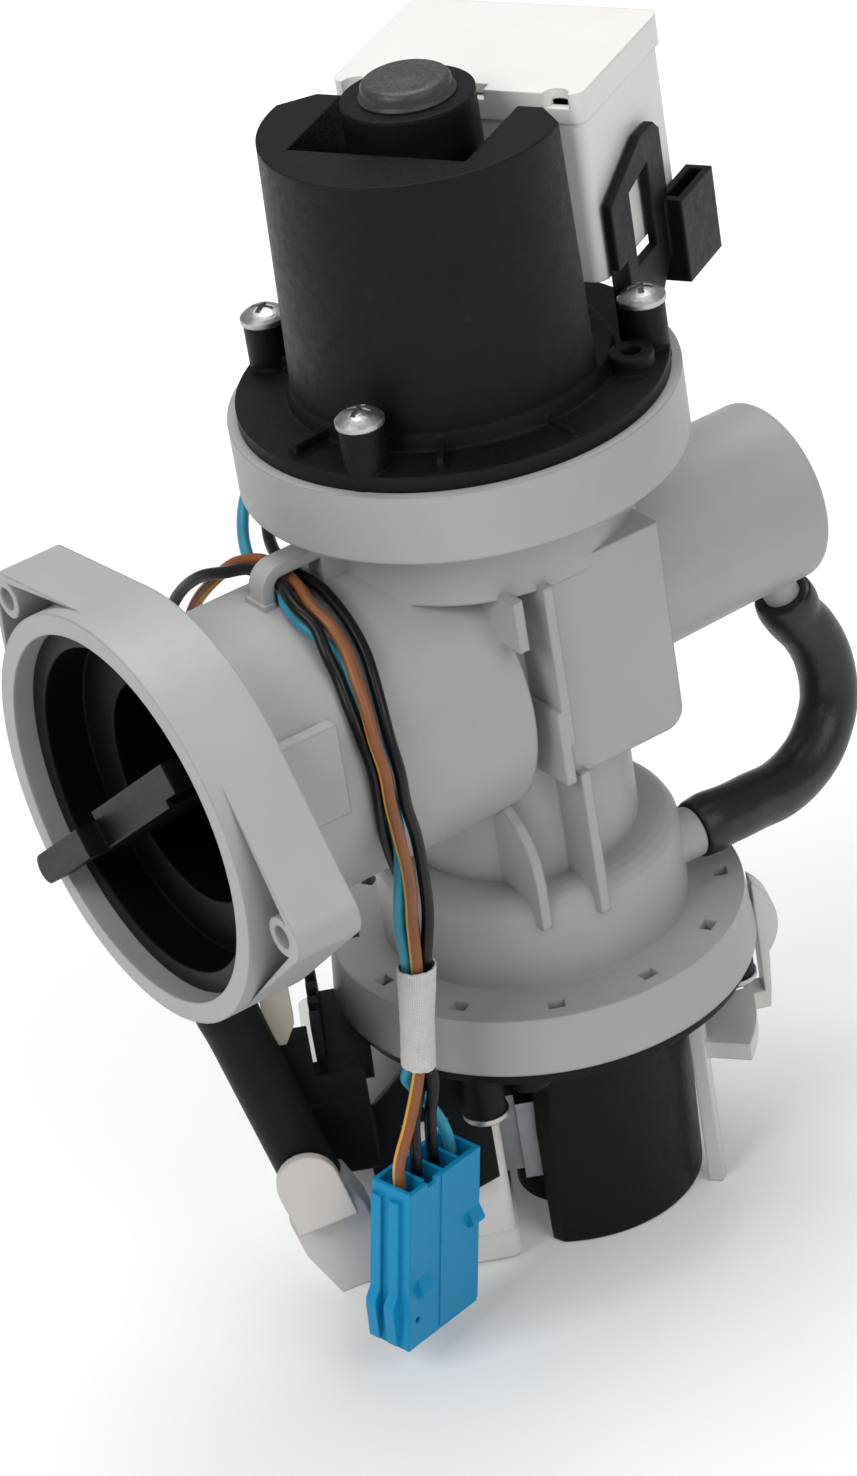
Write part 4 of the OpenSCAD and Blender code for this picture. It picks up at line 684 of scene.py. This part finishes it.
def hosePiece(name, cfg, run):
    total, rim = lengthOf(run["line"]), cfg["rim"]

    def outer(d, turn):
        fromEnd = min(d, total - d)
        r = cfg["radius"]
        for at, width, rise in run["swellings"]:
            r += rise * math.exp(-((d - at % total) / width) ** 2)
        if fromEnd < rim:
            r -= rim - math.sqrt(max(0, rim ** 2 - (rim - fromEnd) ** 2))
        return r

    return tubePiece(name, run["line"], endedSteps(total, cfg["step"]), outer, cfg["facing"],
                     sides=cfg["sides"], bore=lambda d, turn: cfg["bore"])


for name, run in hoseRuns.items():
    node = run["node"]
    dress(hosePiece(name, hose, run), finishes[run["finish"]], "pump", slotOf[node], node)
print("hoses made:", len(hoseRuns))

# Rubber nose cap: a raised disc with a rounded rim, a faint knob and a stem down the boss.
# Its outline is in millimetres, from the axis out and back to the axis.
noseCap = {
    "sides": 72,
    "outline": [
        (0, 238.1), (4.7, 238.1), (4.9, 238.3), (4.9, 241.02), (9, 241.02), (9.15, 241.15),
        (9.1, 241.45), (8.75, 241.62), (8.62, 241.9), (8.55, 242.8), (8.42, 243.5),
        (8.05, 244.05), (7.5, 244.37), (6.8, 244.5), (5.6, 244.5), (5.2, 244.44), (4.8, 244.5),
        (3, 244.52), (2.4, 244.6), (1.6, 244.74), (0.8, 244.79), (0, 244.8)],
}


def turnedPiece(name, cfg):
    bm = bmesh.new()
    verts = [bm.verts.new((r * mm, 0, z * mm)) for r, z in cfg["outline"]]
    edges = [bm.edges.new(pair) for pair in zip(verts, verts[1:])]
    bmesh.ops.spin(bm, geom=verts + edges, axis=(0, 0, 1), cent=(0, 0, 0), angle=2 * math.pi,
                   steps=cfg["sides"], use_merge=True)
    return closedObject(name, bm)


dress(turnedPiece("noseCap", noseCap), finishes["nose_rubber"], "pump",
      slotOf["upper_nose_cap"], "upper_nose_cap")
print("nose cap made")


# Floor and light; the floor's glow is (distance from the part, strength). The glow is weakest next
# to the part, a painted shadow round it, and rises to plain white far out
stage = {
    "floorSize": 6.0, "floorGap": 0.0004, "floorColour": (0.86, 0.86, 0.86), "floorRoughness": 0.9,
    "paintedShadowNear": (0.04, 0.1), "glowMid": (0.2, 0.21), "glowFar": (1.3, 0.85),
    "worldGrey": 0.27,
}
lamps = {
    "keyLamp": {"place": (0.2, -1.15, 1.05), "aim": (0, 0, 0.12), "size": (0.9, 0.7), "watts": 9.5},
    "topLamp": {"place": (-0.35, 0.25, 1.45), "aim": (0, 0, 0.1), "size": (0.9, 0.9),
                "watts": 11.5},
    "sideLamp": {"place": (1.25, 0.15, 1.0), "aim": (0, 0, 0.12), "size": (1.0, 1.0),
                 "watts": 7.0},
}
white = (1, 1, 1, 1)


def makeFloor(cfg, z):
    bm = bmesh.new()
    bmesh.ops.create_grid(bm, x_segments=1, y_segments=1, size=cfg["floorSize"] / 2)
    bmesh.ops.translate(bm, verts=bm.verts, vec=(0, 0, z - cfg["floorGap"]))
    floor = finishedObject("floor", bm)
    mat, tree, shader = newMaterial("paleFloor")
    out = [n for n in tree.nodes if n.type == "OUTPUT_MATERIAL"][0]
    shader.inputs["Base Color"].default_value = (*cfg["floorColour"], 1)
    shader.inputs["Roughness"].default_value = cfg["floorRoughness"]
    rays = addNode(tree, "ShaderNodeLightPath").outputs
    mirrored = add(tree, rays["Is Glossy Ray"], rays["Is Transmission Ray"])
    seen = add(tree, rays["Is Camera Ray"], mirrored, True)
    away = addNode(tree, "ShaderNodeVectorMath", {0: objectPlace(tree)}, operation="LENGTH")
    (near, low), (mid, middle), (far, high) = cfg["paintedShadowNear"], cfg["glowMid"], cfg["glowFar"]
    # painted shadow: the floor's glow is lowered close to the part, darkening the floor round it
    close = remap(tree, away.outputs["Value"], (near, mid), (low, middle))
    wide = remap(tree, away.outputs["Value"], (mid, far), (0.0, high - middle))
    glow = addNode(tree, "ShaderNodeEmission", {
        "Color": white, "Strength": times(tree, seen, add(tree, close, wide))})
    both = addNode(tree, "ShaderNodeAddShader", {0: shader.outputs[0], 1: glow.outputs[0]})
    tree.links.new(both.outputs[0], out.inputs[0])
    floor.data.materials.append(mat)


def makeWorld(cfg):
    world = bpy.data.worlds.new("studio")
    world.use_nodes = True
    tree = world.node_tree
    tree.nodes.clear()
    out = tree.nodes.new("ShaderNodeOutputWorld")
    rays = addNode(tree, "ShaderNodeLightPath").outputs
    seen = add(tree, rays["Is Camera Ray"], rays["Is Transmission Ray"], True)
    soft = addNode(tree, "ShaderNodeBackground", {"Color": white, "Strength": cfg["worldGrey"]})
    plain = addNode(tree, "ShaderNodeBackground", {"Color": white, "Strength": 1.0})
    mix = addNode(tree, "ShaderNodeMixShader", {0: seen, 1: soft.outputs[0], 2: plain.outputs[0]})
    tree.links.new(mix.outputs[0], out.inputs[0])
    bpy.context.scene.world = world


def makeLamp(name, cfg):
    data = bpy.data.lights.new(name, "AREA")
    data.shape, data.energy = "RECTANGLE", cfg["watts"]
    data.size, data.size_y = cfg["size"]
    lamp = link(bpy.data.objects.new(name, data))
    lamp.location = cfg["place"]
    toAim = Vector(cfg["aim"]) - Vector(cfg["place"])
    lamp.rotation_euler = toAim.to_track_quat("-Z", "Y").to_euler()


makeFloor(stage, cadBox[0].z)
makeWorld(stage)
for name, cfg in lamps.items():
    makeLamp(name, cfg)
bpy.context.scene.view_settings.view_transform = "Standard"
print("stage set")
